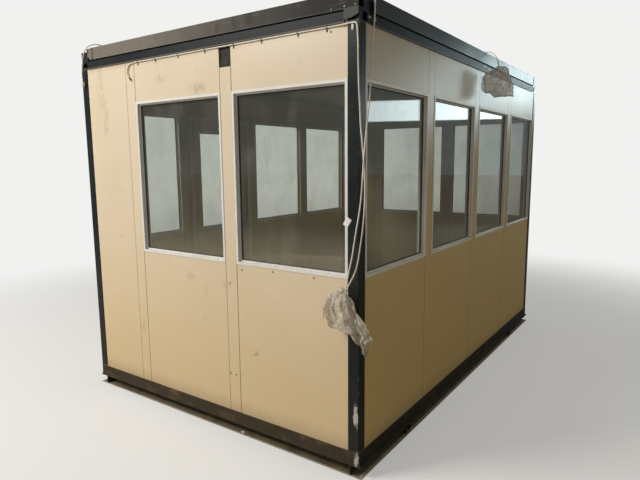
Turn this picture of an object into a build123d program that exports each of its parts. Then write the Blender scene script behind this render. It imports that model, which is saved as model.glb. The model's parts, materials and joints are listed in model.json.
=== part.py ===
"""Portable site cabin: steel skid and post frame, sandwich panel walls, window bands and a hinged door.

Millimetres. The origin is the middle of the footprint at ground level, +Z is up, the end wall
that carries the front cable faces -Y and the long wall without the door faces +X.
"""

import os
from math import radians, tan

from build123d import *

# Overall sizes
WIDTH = 2438.0
DEPTH = 3657.0

# Skids: rolled channels, open outwards
SKID_HEIGHT = 70.0
SKID_FLANGE = 78.0
SKID_STEEL = 6.0
SIDE_SKID_PROUD = 17.0
SKID_ROOT_RADIUS = 5.0
SKID_HOLE_LENGTH = 34.0
SKID_HOLE_WIDTH = 18.0
SKID_HOLE_INSET = 911.0
SKID_HOLE_EDGE = 24.0
BEARER_WIDTH = 62.0
BEARER_INSET = 635.0
BEARER_END_SETBACK = 10.0
BEARER_STEEL = 5.0

# Base rails, folded sections that carry floor and walls
BAND_HEIGHT = 83.0
RAIL_DEPTH = 56.0
RAIL_STEEL = 3.0
FLOOR_EDGE_CLEARANCE = 1.0

# Corner posts
POST = 70.0
POST_STEEL = 4.0
POST_RADIUS = 4.0

# Wall panels
PANEL_HEIGHT = 2325.0
PANEL_THICKNESS = 50.0
PANEL_SETBACK = 4.0
PANEL_EDGE_CHAMFER = 1.5
PILLAR = 95.0
END_BAY = 824.0
SIDE_BAYS = 4

# Windows
SILL_HEIGHT = 993.0
WINDOW_HEIGHT = 1059.0
FRAME_BAR = 18.0
FRAME_PROUD = 3.0
FRAME_EDGE_CHAMFER = 1.5
BEAD_WIDTH = 9.0
BEAD_THICKNESS = 8.0
GLASS_THICKNESS = 6.0
GLASS_SETBACK = 28.0

# Door in the left wall
JAMB = 30.0
JAMB_DEPTH = 64.0
STOP_DEPTH = 12.0
STOP_WIDTH = 12.0
THRESHOLD = 15.0
LEAF_THICKNESS = 45.0
LEAF_SETBACK = 3.0
LEAF_GAP = 5.0
LEAF_FLOOR_GAP = 6.0
LEAF_STILE = 92.0
LEAF_EDGE_CHAMFER = 1.5
HINGE_COUNT = 3
HINGE_RADIUS = 6.0
HINGE_PROUD = 8.0
HINGE_KNUCKLE = 40.0
HINGE_SPLIT = 0.4
HINGE_LEAF = 42.0
HINGE_FRAME_LEAF = 26.0
HINGE_PLATE = 3.0
HINGE_BLOCK = 9.0
HINGE_END_MARGIN = 190.0
HANDLE_HEIGHT = 1010.0
HANDLE_INSET = 46.0
HANDLE_PLATE_WIDTH = 34.0
HANDLE_PLATE_HEIGHT = 190.0
HANDLE_PLATE_THICKNESS = 6.0
LEVER_RADIUS = 8.0
LEVER_REACH = 44.0
LEVER_LENGTH = 118.0
LEVER_BEND = 16.0
KEEP_WIDTH = 22.0
KEEP_HEIGHT = 200.0
KEEP_THICKNESS = 2.0

# Roof edge
STRIP_HEIGHT = 55.0
STRIP_LIP = 6.0
STRIP_LIP_PROUD = 4.0
ROOF_REVEAL = 8.0
FASCIA_HEIGHT = 84.0
FASCIA_PROUD = 8.0
FASCIA_DEPTH = 52.0
FASCIA_STEEL = 3.0
FASCIA_BEND = 5.0
END_FASCIA_SHORT = 136.0
SIDE_FASCIA_SHORT = 132.0
SIDE_FASCIA_END_SHORT = 120.0
HEAD_ALONG_END = 88.0
HEAD_ALONG_SIDE = 128.0
HEAD_SETBACK = 5.0
HEAD_STEEL = 8.0
HEAD_HOLE_LENGTH = 46.0
HEAD_HOLE_HEIGHT = 32.0
STUB_SETBACK = 20.0
STUB_GAP = 6.0
CORNER_PLATE_WIDTH = 86.0
CORNER_PLATE_DROP = 50.0
CORNER_PLATE_SLANT = 40.0
CORNER_PLATE_ANGLE = 24.0
CORNER_PLATE_STEEL = 3.0
END_PLATE_INSET = 100.0
END_PLATE_WIDTH = 65.0
END_PLATE_CUT = 36.0
END_PLATE_CUT_HEIGHT = 31.0
SIDE_PLATE_START = 138.0
SIDE_PLATE_TOP = 116.0
SIDE_PLATE_FOOT = 56.0
SIDE_PLATE_DROP = 8.0
CEILING_THICKNESS = 40.0
DECK_SHEET = 12.0
DECK_RIB_HEIGHT = 22.0
DECK_RIB_TOP = 28.0
DECK_RIB_FOOT = 56.0
DECK_RIB_PITCH = 259.0
DECK_NOTCH_ALONG_END = 156.0
DECK_NOTCH_ALONG_SIDE = 140.0
DECK_EDGE = 4.0

# Cover plate at the top of the pillar between the two front windows
COVER_HEIGHT = 128.0
COVER_STEEL = 4.0
COVER_RECESS = 9.0

# Cables
CABLE = 8.0
CABLE_DROP = 9.0
CABLE_CLEARANCE = 0.3
CLIP_WIDTH = 10.0
CLIP_WALL = 2.2
CLIP_STATIONS = (-545.0, -360.0, -134.0, 112.0, 356.0, 573.0, 834.0, 1022.0)

GLAND_RADIUS = 14.0
GLAND_NECK = 8.0
GLAND_NUT = 14.0
KNOT = (1166.0, -1885.0, 1098.0)
KNOT_RADIUS = 15.0
PLUG_WIDTH = 22.0
PLUG_DEPTH = 16.0
PLUG_LENGTH = 30.0

# Film bags tied to the cable ends: middle of each level, its half width and half depth
FRONT_BAG = (
    (1164, -1886, 1082.7, 16, 13), (1131, -1891, 1050, 84, 30), (1132, -1893, 1000, 101, 38),
    (1159, -1893, 940, 122, 40), (1193, -1892, 890, 118, 39), (1243, -1886, 850, 86, 34),
    (1278, -1878, 812, 50, 26), (1283, -1875, 770, 31, 18), (1284, -1874, 738, 12, 9),
)
SIDE_BAG = (
    (1330, 127, 2508, 13, 13), (1338, 127, 2485, 46, 40), (1319, 122, 2460, 112, 45),
    (1319, 122, 2428, 144, 46), (1326, 124, 2376, 163, 46), (1329, 125, 2324, 159, 46),
    (1336, 127, 2285, 141, 42), (1348, 131, 2267, 108, 32),
)
SIDE_BAG_TURN = 62.0  # degrees from the wall's normal to the bag's broad side

# Levels
BAND_Z = SKID_HEIGHT
WALL_Z = SKID_HEIGHT + BAND_HEIGHT
STRIP_Z = WALL_Z + PANEL_HEIGHT
REVEAL_Z = STRIP_Z + STRIP_HEIGHT
FASCIA_Z = REVEAL_Z + ROOF_REVEAL
TOP_Z = FASCIA_Z + FASCIA_HEIGHT
SILL_Z = WALL_Z + SILL_HEIGHT
HEAD_Z = SILL_Z + WINDOW_HEIGHT
FLOOR_TOP = WALL_Z - RAIL_STEEL
SIDE_BAY = (DEPTH - 2 * POST - (SIDE_BAYS - 1) * PILLAR) / SIDE_BAYS
PLAIN_BAY = WIDTH - 2 * POST - 2 * PILLAR - 2 * END_BAY
PANEL_FACE = PANEL_SETBACK
FRAME_FACE = PANEL_SETBACK - FRAME_PROUD
SKID_WEB_INSET = SKID_FLANGE - SIDE_SKID_PROUD

nodes = {}


def block(x0, x1, y0, y1, z0, z1):
    """A box between two corners."""
    return Pos((x0 + x1) / 2, (y0 + y1) / 2, (z0 + z1) / 2) * Box(x1 - x0, y1 - y0, z1 - z0)


def front(shape):
    """From a wall's own frame, x to the right, y inwards, to the front wall."""
    return Pos(0, -DEPTH / 2, 0) * shape


def right(shape):
    return Pos(WIDTH / 2, 0, 0) * Rot(0, 0, 90) * shape


def rear(shape):
    return Pos(0, DEPTH / 2, 0) * Rot(0, 0, 180) * shape


def left(shape):
    return Pos(-WIDTH / 2, 0, 0) * Rot(0, 0, -90) * shape


def node(name, *solids):
    """One named piece, of one solid or of several that don't touch."""
    parts = [solid for shape in solids for solid in shape.solids()]
    nodes[name] = parts[0] if len(parts) == 1 else Compound(children=parts)
    nodes[name].label = name


def channel(length, height, flange, steel, root):
    """A rolled channel along x, its web at y = flange and its open side towards y = 0."""
    outline = Polyline(
        (0, 0), (flange, 0), (flange, height), (0, height), (0, height - steel),
        (flange - steel, height - steel), (flange - steel, steel), (0, steel), close=True,
    )
    face = make_face(Plane.YZ * outline)
    bar = Pos(-length / 2, 0, 0) * extrude(face, length, dir=(1, 0, 0))
    inner = bar.edges().filter_by(Axis.X).filter_by(
        lambda e: abs(e.center().Y - (flange - steel)) < 1e-3
    )
    return fillet(inner, root)


def folded_rail(length, z0, height, depth, steel):
    """A C section along x that opens inwards, mitred at both ends."""
    outline = Polyline(
        (0, z0), (depth, z0), (depth, z0 + steel), (steel, z0 + steel),
        (steel, z0 + height - steel), (depth, z0 + height - steel), (depth, z0 + height),
        (0, z0 + height), close=True,
    )
    bar = Pos(-length / 2, 0, 0) * extrude(make_face(Plane.YZ * outline), length, dir=(1, 0, 0))
    plan = Polyline(
        (-length / 2, 0), (length / 2, 0), (length / 2 - depth, depth),
        (-length / 2 + depth, depth), close=True,
    )
    return bar & Pos(0, 0, z0) * extrude(make_face(plan), height)


# Skids and bearers


def side_skid():
    """The long channel, with square holes where the bearers pass through its web."""
    bar = Pos(0, -SIDE_SKID_PROUD, 0) * channel(
        DEPTH, SKID_HEIGHT, SKID_FLANGE, SKID_STEEL, SKID_ROOT_RADIUS
    )
    for side in (-1, 1):
        x = side * (DEPTH / 2 - BEARER_INSET)
        bar -= block(
            x - BEARER_WIDTH / 2, x + BEARER_WIDTH / 2, SKID_WEB_INSET - 2 * SKID_STEEL,
            SKID_WEB_INSET + SKID_STEEL, SKID_STEEL, SKID_HEIGHT - SKID_STEEL,
        )
    return bar


def end_skid():
    """The short channel between the two long ones, with a drain slot in its lower flange."""
    bar = channel(
        WIDTH - 2 * SKID_WEB_INSET, SKID_HEIGHT, SKID_FLANGE, SKID_STEEL, SKID_ROOT_RADIUS
    )
    slot = extrude(SlotOverall(SKID_HOLE_LENGTH, SKID_HOLE_WIDTH), SKID_STEEL)
    return bar - Pos(WIDTH / 2 - SKID_HOLE_INSET, SKID_HOLE_EDGE, 0) * slot


def bearer(y):
    """A box section across the cabin, its ends standing in the channels."""
    reach = WIDTH / 2 + SIDE_SKID_PROUD - BEARER_END_SETBACK
    outer = block(
        -reach, reach, y - BEARER_WIDTH / 2, y + BEARER_WIDTH / 2, SKID_STEEL,
        SKID_HEIGHT - SKID_STEEL,
    )
    inner = block(
        -reach, reach, y - BEARER_WIDTH / 2 + BEARER_STEEL, y + BEARER_WIDTH / 2 - BEARER_STEEL,
        SKID_STEEL + BEARER_STEEL, SKID_HEIGHT - SKID_STEEL - BEARER_STEEL,
    )
    return outer - inner


node("side_skids", right(side_skid()), left(side_skid()))
node("end_skids", front(end_skid()), rear(end_skid()))
node("cross_bearers", bearer(BEARER_INSET - DEPTH / 2), bearer(DEPTH / 2 - BEARER_INSET))

# Base rails and floor

end_rail = folded_rail(WIDTH, BAND_Z, BAND_HEIGHT, RAIL_DEPTH, RAIL_STEEL)
side_rail = folded_rail(DEPTH, BAND_Z, BAND_HEIGHT, RAIL_DEPTH, RAIL_STEEL)
node("end_base_rails", front(end_rail), rear(end_rail))
node("side_base_rails", right(side_rail), left(side_rail))

floor_inset = RAIL_STEEL + FLOOR_EDGE_CLEARANCE
node(
    "floor",
    block(
        floor_inset - WIDTH / 2, WIDTH / 2 - floor_inset, floor_inset - DEPTH / 2,
        DEPTH / 2 - floor_inset, BAND_Z + RAIL_STEEL, FLOOR_TOP,
    ),
)


# Corner posts


def corner_post(x_side, y_side):
    """A box section with rounded edges."""
    x = x_side * (WIDTH - POST) / 2
    y = y_side * (DEPTH - POST) / 2
    profile = RectangleRounded(POST, POST, POST_RADIUS)
    profile -= Rectangle(POST - 2 * POST_STEEL, POST - 2 * POST_STEEL)
    return Pos(x, y, WALL_Z) * extrude(profile, PANEL_HEIGHT)


node("corner_posts", *[corner_post(x_side, y_side) for x_side in (-1, 1) for y_side in (-1, 1)])


# Walls


def panel(x0, x1, z0, z1):
    """A sandwich panel whose folded outer edges leave a fine groove at each joint."""
    slab = block(x0, x1, PANEL_FACE, PANEL_FACE + PANEL_THICKNESS, z0, z1)
    edges = slab.edges().filter_by(Axis.Z).group_by(Axis.Y)[0]
    return chamfer(edges, PANEL_EDGE_CHAMFER)


def ring(width, height, bar, depth):
    """A rectangular frame in the XZ plane, from y = 0 to y = depth, its middle at the origin."""
    face = Rectangle(width, height) - Rectangle(width - 2 * bar, height - 2 * bar)
    return extrude(Plane.XZ * face, -depth)


def window_frame(x0, x1, z0, z1):
    """An aluminium frame as wide as its bay, with glazing beads on both sides of the pane."""
    width = x1 - x0
    height = z1 - z0
    depth = PANEL_THICKNESS + 2 * FRAME_PROUD
    frame = ring(width, height, FRAME_BAR, depth)
    frame = chamfer(frame.faces().sort_by(Axis.Y)[0].edges(), FRAME_EDGE_CHAMFER)
    bead = ring(width - 2 * FRAME_BAR, height - 2 * FRAME_BAR, BEAD_WIDTH, BEAD_THICKNESS)
    glass_y = GLASS_SETBACK - FRAME_FACE
    frame += Pos(0, glass_y - BEAD_THICKNESS, 0) * bead
    frame += Pos(0, glass_y + GLASS_THICKNESS, 0) * bead
    return Pos((x0 + x1) / 2, FRAME_FACE, (z0 + z1) / 2) * frame


def pane(x0, x1, z0, z1):
    """The glass between the beads of a window frame of those outer sizes."""
    return block(
        x0 + FRAME_BAR, x1 - FRAME_BAR, GLASS_SETBACK, GLASS_SETBACK + GLASS_THICKNESS,
        z0 + FRAME_BAR, z1 - FRAME_BAR,
    )


def bays(kinds, length):
    """(kind, x0, x1) of each bay from left to right, with a pillar between two bays."""
    widths = {"window": END_BAY, "plain": PLAIN_BAY, "side": SIDE_BAY, "door": SIDE_BAY}
    x = POST - length / 2
    found = []
    for index, kind in enumerate(kinds):
        if index:
            found.append(("pillar", x, x + PILLAR))
            x += PILLAR
        found.append((kind, x, x + widths[kind]))
        x += widths[kind]
    return found


def wall(name, side, kinds, length):
    """Every fixed piece of one wall between its corner posts."""
    layout = bays(kinds, length)
    glazed = [(x0, x1) for kind, x0, x1 in layout if kind in ("window", "side")]
    headed = [(x0, x1) for kind, x0, x1 in layout if kind in ("window", "side", "door")]
    pillars = [panel(x0, x1, WALL_Z, STRIP_Z) for kind, x0, x1 in layout if kind == "pillar"]
    if name == "front":
        pillars[1] -= cover_recess(layout)
    panels = [side(panel(x0, x1, WALL_Z, SILL_Z)) for x0, x1 in glazed]
    panels += [side(panel(x0, x1, HEAD_Z, STRIP_Z)) for x0, x1 in headed]
    panels += [side(panel(x0, x1, WALL_Z, STRIP_Z)) for kind, x0, x1 in layout if kind == "plain"]
    node(name + "_wall_panels", *panels)
    node(name + "_pillars", *[side(pillar) for pillar in pillars])
    node(name + "_window_frames", *[side(window_frame(x0, x1, SILL_Z, HEAD_Z)) for x0, x1 in glazed])
    node(name + "_glass", *[side(pane(x0, x1, SILL_Z, HEAD_Z)) for x0, x1 in glazed])
    return layout


def cover_recess(layout):
    """The cut at the top of the second pillar that takes the dark cover plate."""
    x0, x1 = [(a, b) for kind, a, b in layout if kind == "pillar"][1]
    return block(x0, x1, 0, PANEL_FACE + COVER_RECESS + COVER_STEEL, STRIP_Z - COVER_HEIGHT, STRIP_Z)


front_layout = wall("front", front, ("plain", "window", "window"), WIDTH)
wall("right", right, ("side",) * SIDE_BAYS, DEPTH)
wall("rear", rear, ("window", "window", "plain"), WIDTH)
left_layout = wall("left", left, ("side", "side", "door", "side"), DEPTH)

cover_x0, cover_x1 = [(a, b) for kind, a, b in front_layout if kind == "pillar"][1]
node(
    "pillar_cover_plate",
    front(
        block(
            cover_x0, cover_x1, PANEL_FACE + COVER_RECESS, PANEL_FACE + COVER_RECESS + COVER_STEEL,
            STRIP_Z - COVER_HEIGHT, STRIP_Z,
        )
    ),
)

# Doorway: jambs, head and threshold

door_x0, door_x1 = [(a, b) for kind, a, b in left_layout if kind == "door"][0]
clear_x0 = door_x0 + JAMB
clear_x1 = door_x1 - JAMB
clear_z0 = WALL_Z + THRESHOLD
clear_z1 = HEAD_Z - JAMB
stop_y = FRAME_FACE + JAMB_DEPTH - STOP_DEPTH


def jamb(x0, x1, stop_side):
    """An upright of the door frame, with the stop that the leaf closes against."""
    post = block(x0, x1, FRAME_FACE, FRAME_FACE + JAMB_DEPTH, WALL_Z, HEAD_Z)
    edge = x1 if stop_side > 0 else x0
    far = edge + stop_side * STOP_WIDTH
    return post + block(
        min(edge, far), max(edge, far), stop_y, stop_y + STOP_DEPTH, WALL_Z, clear_z1
    )


node("door_jambs", left(jamb(door_x0, clear_x0, 1)), left(jamb(clear_x1, door_x1, -1)))
node(
    "door_frame_head",
    left(
        block(clear_x0, clear_x1, FRAME_FACE, FRAME_FACE + JAMB_DEPTH, clear_z1, HEAD_Z)
        + block(
            clear_x0 + STOP_WIDTH, clear_x1 - STOP_WIDTH, stop_y, stop_y + STOP_DEPTH,
            clear_z1 - STOP_WIDTH, clear_z1,
        )
    ),
)
node(
    "door_threshold",
    left(
        block(
            clear_x0, clear_x1, FRAME_FACE, FRAME_FACE + JAMB_DEPTH - STOP_DEPTH, WALL_Z, clear_z0
        )
    ),
)
keep_z = FLOOR_TOP + HANDLE_HEIGHT
node(
    "door_lock_keep",
    left(
        block(
            clear_x0, clear_x0 + KEEP_THICKNESS, LEAF_SETBACK + (LEAF_THICKNESS - KEEP_WIDTH) / 2,
            LEAF_SETBACK + (LEAF_THICKNESS + KEEP_WIDTH) / 2, keep_z - KEEP_HEIGHT / 2,
            keep_z + KEEP_HEIGHT / 2,
        )
    ),
)

# Door leaf, hinged on the right seen from outside

leaf_x0 = clear_x0 + LEAF_GAP + KEEP_THICKNESS
leaf_x1 = clear_x1 - LEAF_GAP
leaf_z0 = clear_z0 + LEAF_FLOOR_GAP
leaf_z1 = clear_z1 - LEAF_GAP
light_x0 = leaf_x0 + LEAF_STILE
light_x1 = leaf_x1 - LEAF_STILE
light_z1 = leaf_z1 - LEAF_STILE
leaf_mid_y = LEAF_SETBACK + LEAF_THICKNESS / 2


def door_leaf():
    """A flat insulated leaf, cut out for its window."""
    slab = block(leaf_x0, leaf_x1, LEAF_SETBACK, LEAF_SETBACK + LEAF_THICKNESS, leaf_z0, leaf_z1)
    slab = chamfer(slab.faces().sort_by(Axis.Y)[0].edges(), LEAF_EDGE_CHAMFER)
    return slab - block(
        light_x0, light_x1, 0, LEAF_SETBACK + 2 * LEAF_THICKNESS, SILL_Z, light_z1
    )


def door_window_frame():
    """The white frame round the door's pane, proud of the leaf on both sides."""
    width = light_x1 - light_x0
    height = light_z1 - SILL_Z
    depth = LEAF_THICKNESS
    frame = ring(width, height, FRAME_BAR, depth)
    bead = ring(
        width - 2 * FRAME_BAR, height - 2 * FRAME_BAR, BEAD_WIDTH, (depth - GLASS_THICKNESS) / 3
    )
    pane_y = (depth - GLASS_THICKNESS) / 2
    frame += Pos(0, pane_y - (depth - GLASS_THICKNESS) / 3, 0) * bead
    frame += Pos(0, pane_y + GLASS_THICKNESS, 0) * bead
    return Pos((light_x0 + light_x1) / 2, LEAF_SETBACK, (SILL_Z + light_z1) / 2) * frame


node("door_leaf", left(door_leaf()))
node("door_window_frame", left(door_window_frame()))
node(
    "door_glass",
    left(
        block(
            light_x0 + FRAME_BAR, light_x1 - FRAME_BAR, leaf_mid_y - GLASS_THICKNESS / 2,
            leaf_mid_y + GLASS_THICKNESS / 2, SILL_Z + FRAME_BAR, light_z1 - FRAME_BAR,
        )
    ),
)

# Hinges: the lower knuckle belongs to the jamb, the upper one to the leaf

hinge_x = clear_x1 - LEAF_GAP / 2
hinge_step = (leaf_z1 - leaf_z0 - 2 * HINGE_END_MARGIN) / (HINGE_COUNT - 1)


def knuckle(z0, reach, face):
    """A hinge barrel with its block and its plate on the face at y = face, reaching along x."""
    barrel = Pos(hinge_x, -HINGE_PROUD, z0) * extrude(Circle(HINGE_RADIUS), HINGE_KNUCKLE)
    near = min(0, reach / abs(reach) * HINGE_BLOCK)
    lug = block(
        hinge_x + near, hinge_x + near + HINGE_BLOCK, -HINGE_PROUD, face, z0, z0 + HINGE_KNUCKLE
    )
    plate = block(
        hinge_x + min(0, reach), hinge_x + max(0, reach), face - HINGE_PLATE, face, z0,
        z0 + HINGE_KNUCKLE,
    )
    return barrel + lug + plate


hinge_levels = [leaf_z0 + HINGE_END_MARGIN + hinge_step * index for index in range(HINGE_COUNT)]
node(
    "door_frame_hinges",
    *[
        left(knuckle(z - HINGE_KNUCKLE - HINGE_SPLIT / 2, HINGE_FRAME_LEAF, FRAME_FACE))
        for z in hinge_levels
    ],
)
node(
    "door_leaf_hinges",
    *[left(knuckle(z + HINGE_SPLIT / 2, -HINGE_LEAF, LEAF_SETBACK)) for z in hinge_levels],
)


def lever_handle():
    """A lever on a long plate; y = 0 is the leaf's face and the lever stands out to -y."""
    plate = block(
        -HANDLE_PLATE_WIDTH / 2, HANDLE_PLATE_WIDTH / 2, -HANDLE_PLATE_THICKNESS, 0,
        -HANDLE_PLATE_HEIGHT / 2, HANDLE_PLATE_HEIGHT / 2,
    )
    plate = fillet(plate.edges().filter_by(Axis.Y), HANDLE_PLATE_WIDTH / 2 - 1)
    path = FilletPolyline(
        (0, -HANDLE_PLATE_THICKNESS / 2, 0), (0, -LEVER_REACH, 0), (LEVER_LENGTH, -LEVER_REACH, 0),
        radius=LEVER_BEND,
    )
    section = Plane(origin=(0, -HANDLE_PLATE_THICKNESS / 2, 0), z_dir=(0, -1, 0)) * Circle(LEVER_RADIUS)
    return plate + sweep(section, path)


handle_x = leaf_x0 + HANDLE_INSET
outside = Pos(handle_x, LEAF_SETBACK, keep_z) * lever_handle()
inside = Pos(handle_x, LEAF_SETBACK + LEAF_THICKNESS, keep_z) * mirror(lever_handle(), Plane.XZ)
node("door_handles", left(outside), left(inside))

# Roof edge: corner heads, lower strips and the fascias above them


def corner_head(x_side, y_side):
    """A hollow lifting corner with a slot in both outer faces, and the block between the fascias.

    The end fascia runs past the block on the right of each end wall; on the left neither does.
    """
    x1 = WIDTH / 2 - HEAD_SETBACK
    y1 = DEPTH / 2 - HEAD_SETBACK
    x0 = WIDTH / 2 - HEAD_ALONG_END
    y0 = DEPTH / 2 - HEAD_ALONG_SIDE
    head = block(x0, x1, y0, y1, STRIP_Z, FASCIA_Z)
    head -= block(
        x0 + HEAD_STEEL, x1 - HEAD_STEEL, y0 + HEAD_STEEL, y1 - HEAD_STEEL, STRIP_Z + HEAD_STEEL,
        FASCIA_Z - HEAD_STEEL,
    )
    middle = (STRIP_Z + FASCIA_Z) / 2
    slot = extrude(SlotOverall(HEAD_HOLE_LENGTH, HEAD_HOLE_HEIGHT), 3 * HEAD_STEEL, both=True)
    head -= Pos((x0 + x1) / 2, y1, middle) * Rot(90, 0, 0) * slot
    head -= Pos(x1, (y0 + y1) / 2, middle) * Rot(90, 0, 90) * slot
    if x_side * y_side < 0:
        stub_y0, stub_y1 = y0, DEPTH / 2 - FASCIA_DEPTH
    else:
        stub_y0, stub_y1 = DEPTH / 2 - SIDE_FASCIA_END_SHORT + STUB_GAP, y1
    head += block(x0, x1, stub_y0, stub_y1, FASCIA_Z, TOP_Z - STUB_SETBACK)
    if x_side < 0:
        head = mirror(head, Plane.YZ)
    if y_side < 0:
        head = mirror(head, Plane.XZ)
    return head


node("corner_heads", corner_head(1, -1), corner_head(1, 1))
node("front_left_head", corner_head(-1, -1))
node("rear_left_head", corner_head(-1, 1))


def strip(length):
    """The lower roof rail: a section that opens inwards, with a lip along its lower edge."""
    outline = Polyline(
        (-STRIP_LIP_PROUD, STRIP_Z), (RAIL_DEPTH, STRIP_Z), (RAIL_DEPTH, STRIP_Z + RAIL_STEEL),
        (RAIL_STEEL, STRIP_Z + RAIL_STEEL), (RAIL_STEEL, REVEAL_Z - RAIL_STEEL),
        (RAIL_DEPTH, REVEAL_Z - RAIL_STEEL), (RAIL_DEPTH, REVEAL_Z), (0, REVEAL_Z),
        (0, STRIP_Z + STRIP_LIP), (-STRIP_LIP_PROUD, STRIP_Z + STRIP_LIP), close=True,
    )
    return Pos(-length / 2, 0, 0) * extrude(make_face(Plane.YZ * outline), length, dir=(1, 0, 0))


def fascia(x0, x1):
    """The roof's edge profile: a face with a rounded top bend and returns inwards."""
    face_y = -FASCIA_PROUD
    back = face_y + FASCIA_DEPTH
    outline = Polyline(
        (face_y, FASCIA_Z), (back, FASCIA_Z), (back, FASCIA_Z + FASCIA_STEEL),
        (face_y + FASCIA_STEEL, FASCIA_Z + FASCIA_STEEL), (face_y + FASCIA_STEEL, TOP_Z - FASCIA_STEEL),
        (back, TOP_Z - FASCIA_STEEL), (back, TOP_Z), (face_y, TOP_Z), close=True,
    )
    bar = Pos(x0, 0, 0) * extrude(make_face(Plane.YZ * outline), x1 - x0, dir=(1, 0, 0))
    top_edge = bar.edges().filter_by(Axis.X).filter_by(
        lambda e: e.center().Z > TOP_Z - 1e-3 and e.center().Y < face_y + 1e-3
    )
    return fillet(top_edge, FASCIA_BEND - FASCIA_STEEL)


end_strip = strip(WIDTH - 2 * HEAD_ALONG_END)
side_strip = strip(DEPTH - 2 * HEAD_ALONG_SIDE)
end_fascia = fascia(END_FASCIA_SHORT - WIDTH / 2, WIDTH / 2)
side_fascia = fascia(SIDE_FASCIA_SHORT - DEPTH / 2, DEPTH / 2 - SIDE_FASCIA_END_SHORT)
node("end_roof_strips", front(end_strip), rear(end_strip))
node("side_roof_strips", right(side_strip), left(side_strip))
node("end_fascias", front(end_fascia), rear(end_fascia))
node("side_fascias", right(side_fascia), left(side_fascia))


def fascia_plate(*points):
    """A thin plate on a fascia's face, its outline in the wall's own frame."""
    outline = make_face(Plane.XZ * Polyline(*points, close=True))
    return Pos(0, -FASCIA_PROUD, 0) * extrude(outline, CORNER_PLATE_STEEL, dir=(0, -1, 0))


plate_top = TOP_Z - FASCIA_BEND


def tongue_plate():
    """The plate on an end fascia's right end, whose slanted tongue hangs over the strip."""
    x1 = WIDTH / 2
    x0 = x1 - CORNER_PLATE_WIDTH
    low = FASCIA_Z - CORNER_PLATE_DROP
    rise = CORNER_PLATE_SLANT * tan(radians(CORNER_PLATE_ANGLE))
    return fascia_plate(
        (x0, low), (x1 - CORNER_PLATE_SLANT, low + CORNER_PLATE_STEEL), (x1, low + rise),
        (x1, plate_top), (x0, plate_top),
    )


def end_plate():
    """The plate on an end fascia's left end, its lower corner cut off."""
    x0 = END_PLATE_INSET - WIDTH / 2
    x1 = x0 + END_PLATE_WIDTH
    return fascia_plate(
        (x0 + END_PLATE_CUT, FASCIA_Z), (x1, FASCIA_Z), (x1, plate_top), (x0, plate_top),
        (x0, FASCIA_Z + END_PLATE_CUT_HEIGHT),
    )


def side_plate():
    """The plate on a side fascia's right end, slanted and a little lower than the fascia."""
    low = FASCIA_Z - SIDE_PLATE_DROP
    return fascia_plate(
        (DEPTH / 2 - SIDE_PLATE_START, FASCIA_Z), (DEPTH / 2 - SIDE_PLATE_TOP, FASCIA_Z),
        (DEPTH / 2 - SIDE_PLATE_FOOT, low), (DEPTH / 2 - SIDE_PLATE_TOP, plate_top),
        (DEPTH / 2 - SIDE_PLATE_START, plate_top),
    )


end_plates = [tongue_plate(), end_plate()]
node(
    "corner_plates", *[front(plate) for plate in end_plates], *[rear(plate) for plate in end_plates],
    right(side_plate()), left(side_plate()),
)


def roof_deck():
    """A ribbed sheet between the fascias, resting on the fascias' lower returns."""
    half = WIDTH / 2 + FASCIA_PROUD - FASCIA_STEEL - DECK_EDGE
    long_half = DEPTH / 2 + FASCIA_PROUD - FASCIA_STEEL - DECK_EDGE
    low = FASCIA_Z + FASCIA_STEEL
    ribs_a_side = int((WIDTH / 2 - FASCIA_DEPTH - DECK_RIB_FOOT / 2) / DECK_RIB_PITCH + 0.5)
    points = [(-half, low), (half, low), (half, low + DECK_SHEET)]
    for index in range(ribs_a_side - 1, -ribs_a_side - 1, -1):
        x = (index + 0.5) * DECK_RIB_PITCH
        points += [
            (x + DECK_RIB_FOOT / 2, low + DECK_SHEET),
            (x + DECK_RIB_TOP / 2, low + DECK_SHEET + DECK_RIB_HEIGHT),
            (x - DECK_RIB_TOP / 2, low + DECK_SHEET + DECK_RIB_HEIGHT),
            (x - DECK_RIB_FOOT / 2, low + DECK_SHEET),
        ]
    points.append((-half, low + DECK_SHEET))
    sheet = extrude(Plane.XZ * make_face(Polyline(*points, close=True)), long_half, both=True)
    for x_side in (-1, 1):
        for y_side in (-1, 1):
            x = x_side * WIDTH / 2
            y = y_side * DEPTH / 2
            sheet -= block(
                x - DECK_NOTCH_ALONG_END, x + DECK_NOTCH_ALONG_END, y - DECK_NOTCH_ALONG_SIDE,
                y + DECK_NOTCH_ALONG_SIDE, low, TOP_Z,
            )
    return sheet


node("roof_deck", roof_deck())


CEILING_Z = STRIP_Z + RAIL_STEEL
CEILING_TOP_Z = CEILING_Z + CEILING_THICKNESS
CEILING_EDGE_X = WIDTH / 2 - RAIL_STEEL - FLOOR_EDGE_CLEARANCE
CEILING_EDGE_Y = DEPTH / 2 - RAIL_STEEL - FLOOR_EDGE_CLEARANCE
BETWEEN_HEADS_X = WIDTH / 2 - HEAD_ALONG_END
BETWEEN_HEADS_Y = DEPTH / 2 - HEAD_ALONG_SIDE

# The ceiling's boards lie on the lower returns of the roof strips; the end ones fit between the heads.
node(
    "ceiling",
    block(-CEILING_EDGE_X, CEILING_EDGE_X, -BETWEEN_HEADS_Y, BETWEEN_HEADS_Y, CEILING_Z, CEILING_TOP_Z),
)
node(
    "ceiling_end_boards",
    *[
        block(-BETWEEN_HEADS_X, BETWEEN_HEADS_X, min(y0, y1), max(y0, y1), CEILING_Z, CEILING_TOP_Z)
        for y0, y1 in ((-CEILING_EDGE_Y, -BETWEEN_HEADS_Y), (BETWEEN_HEADS_Y, CEILING_EDGE_Y))
    ],
)


# Cables


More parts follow.
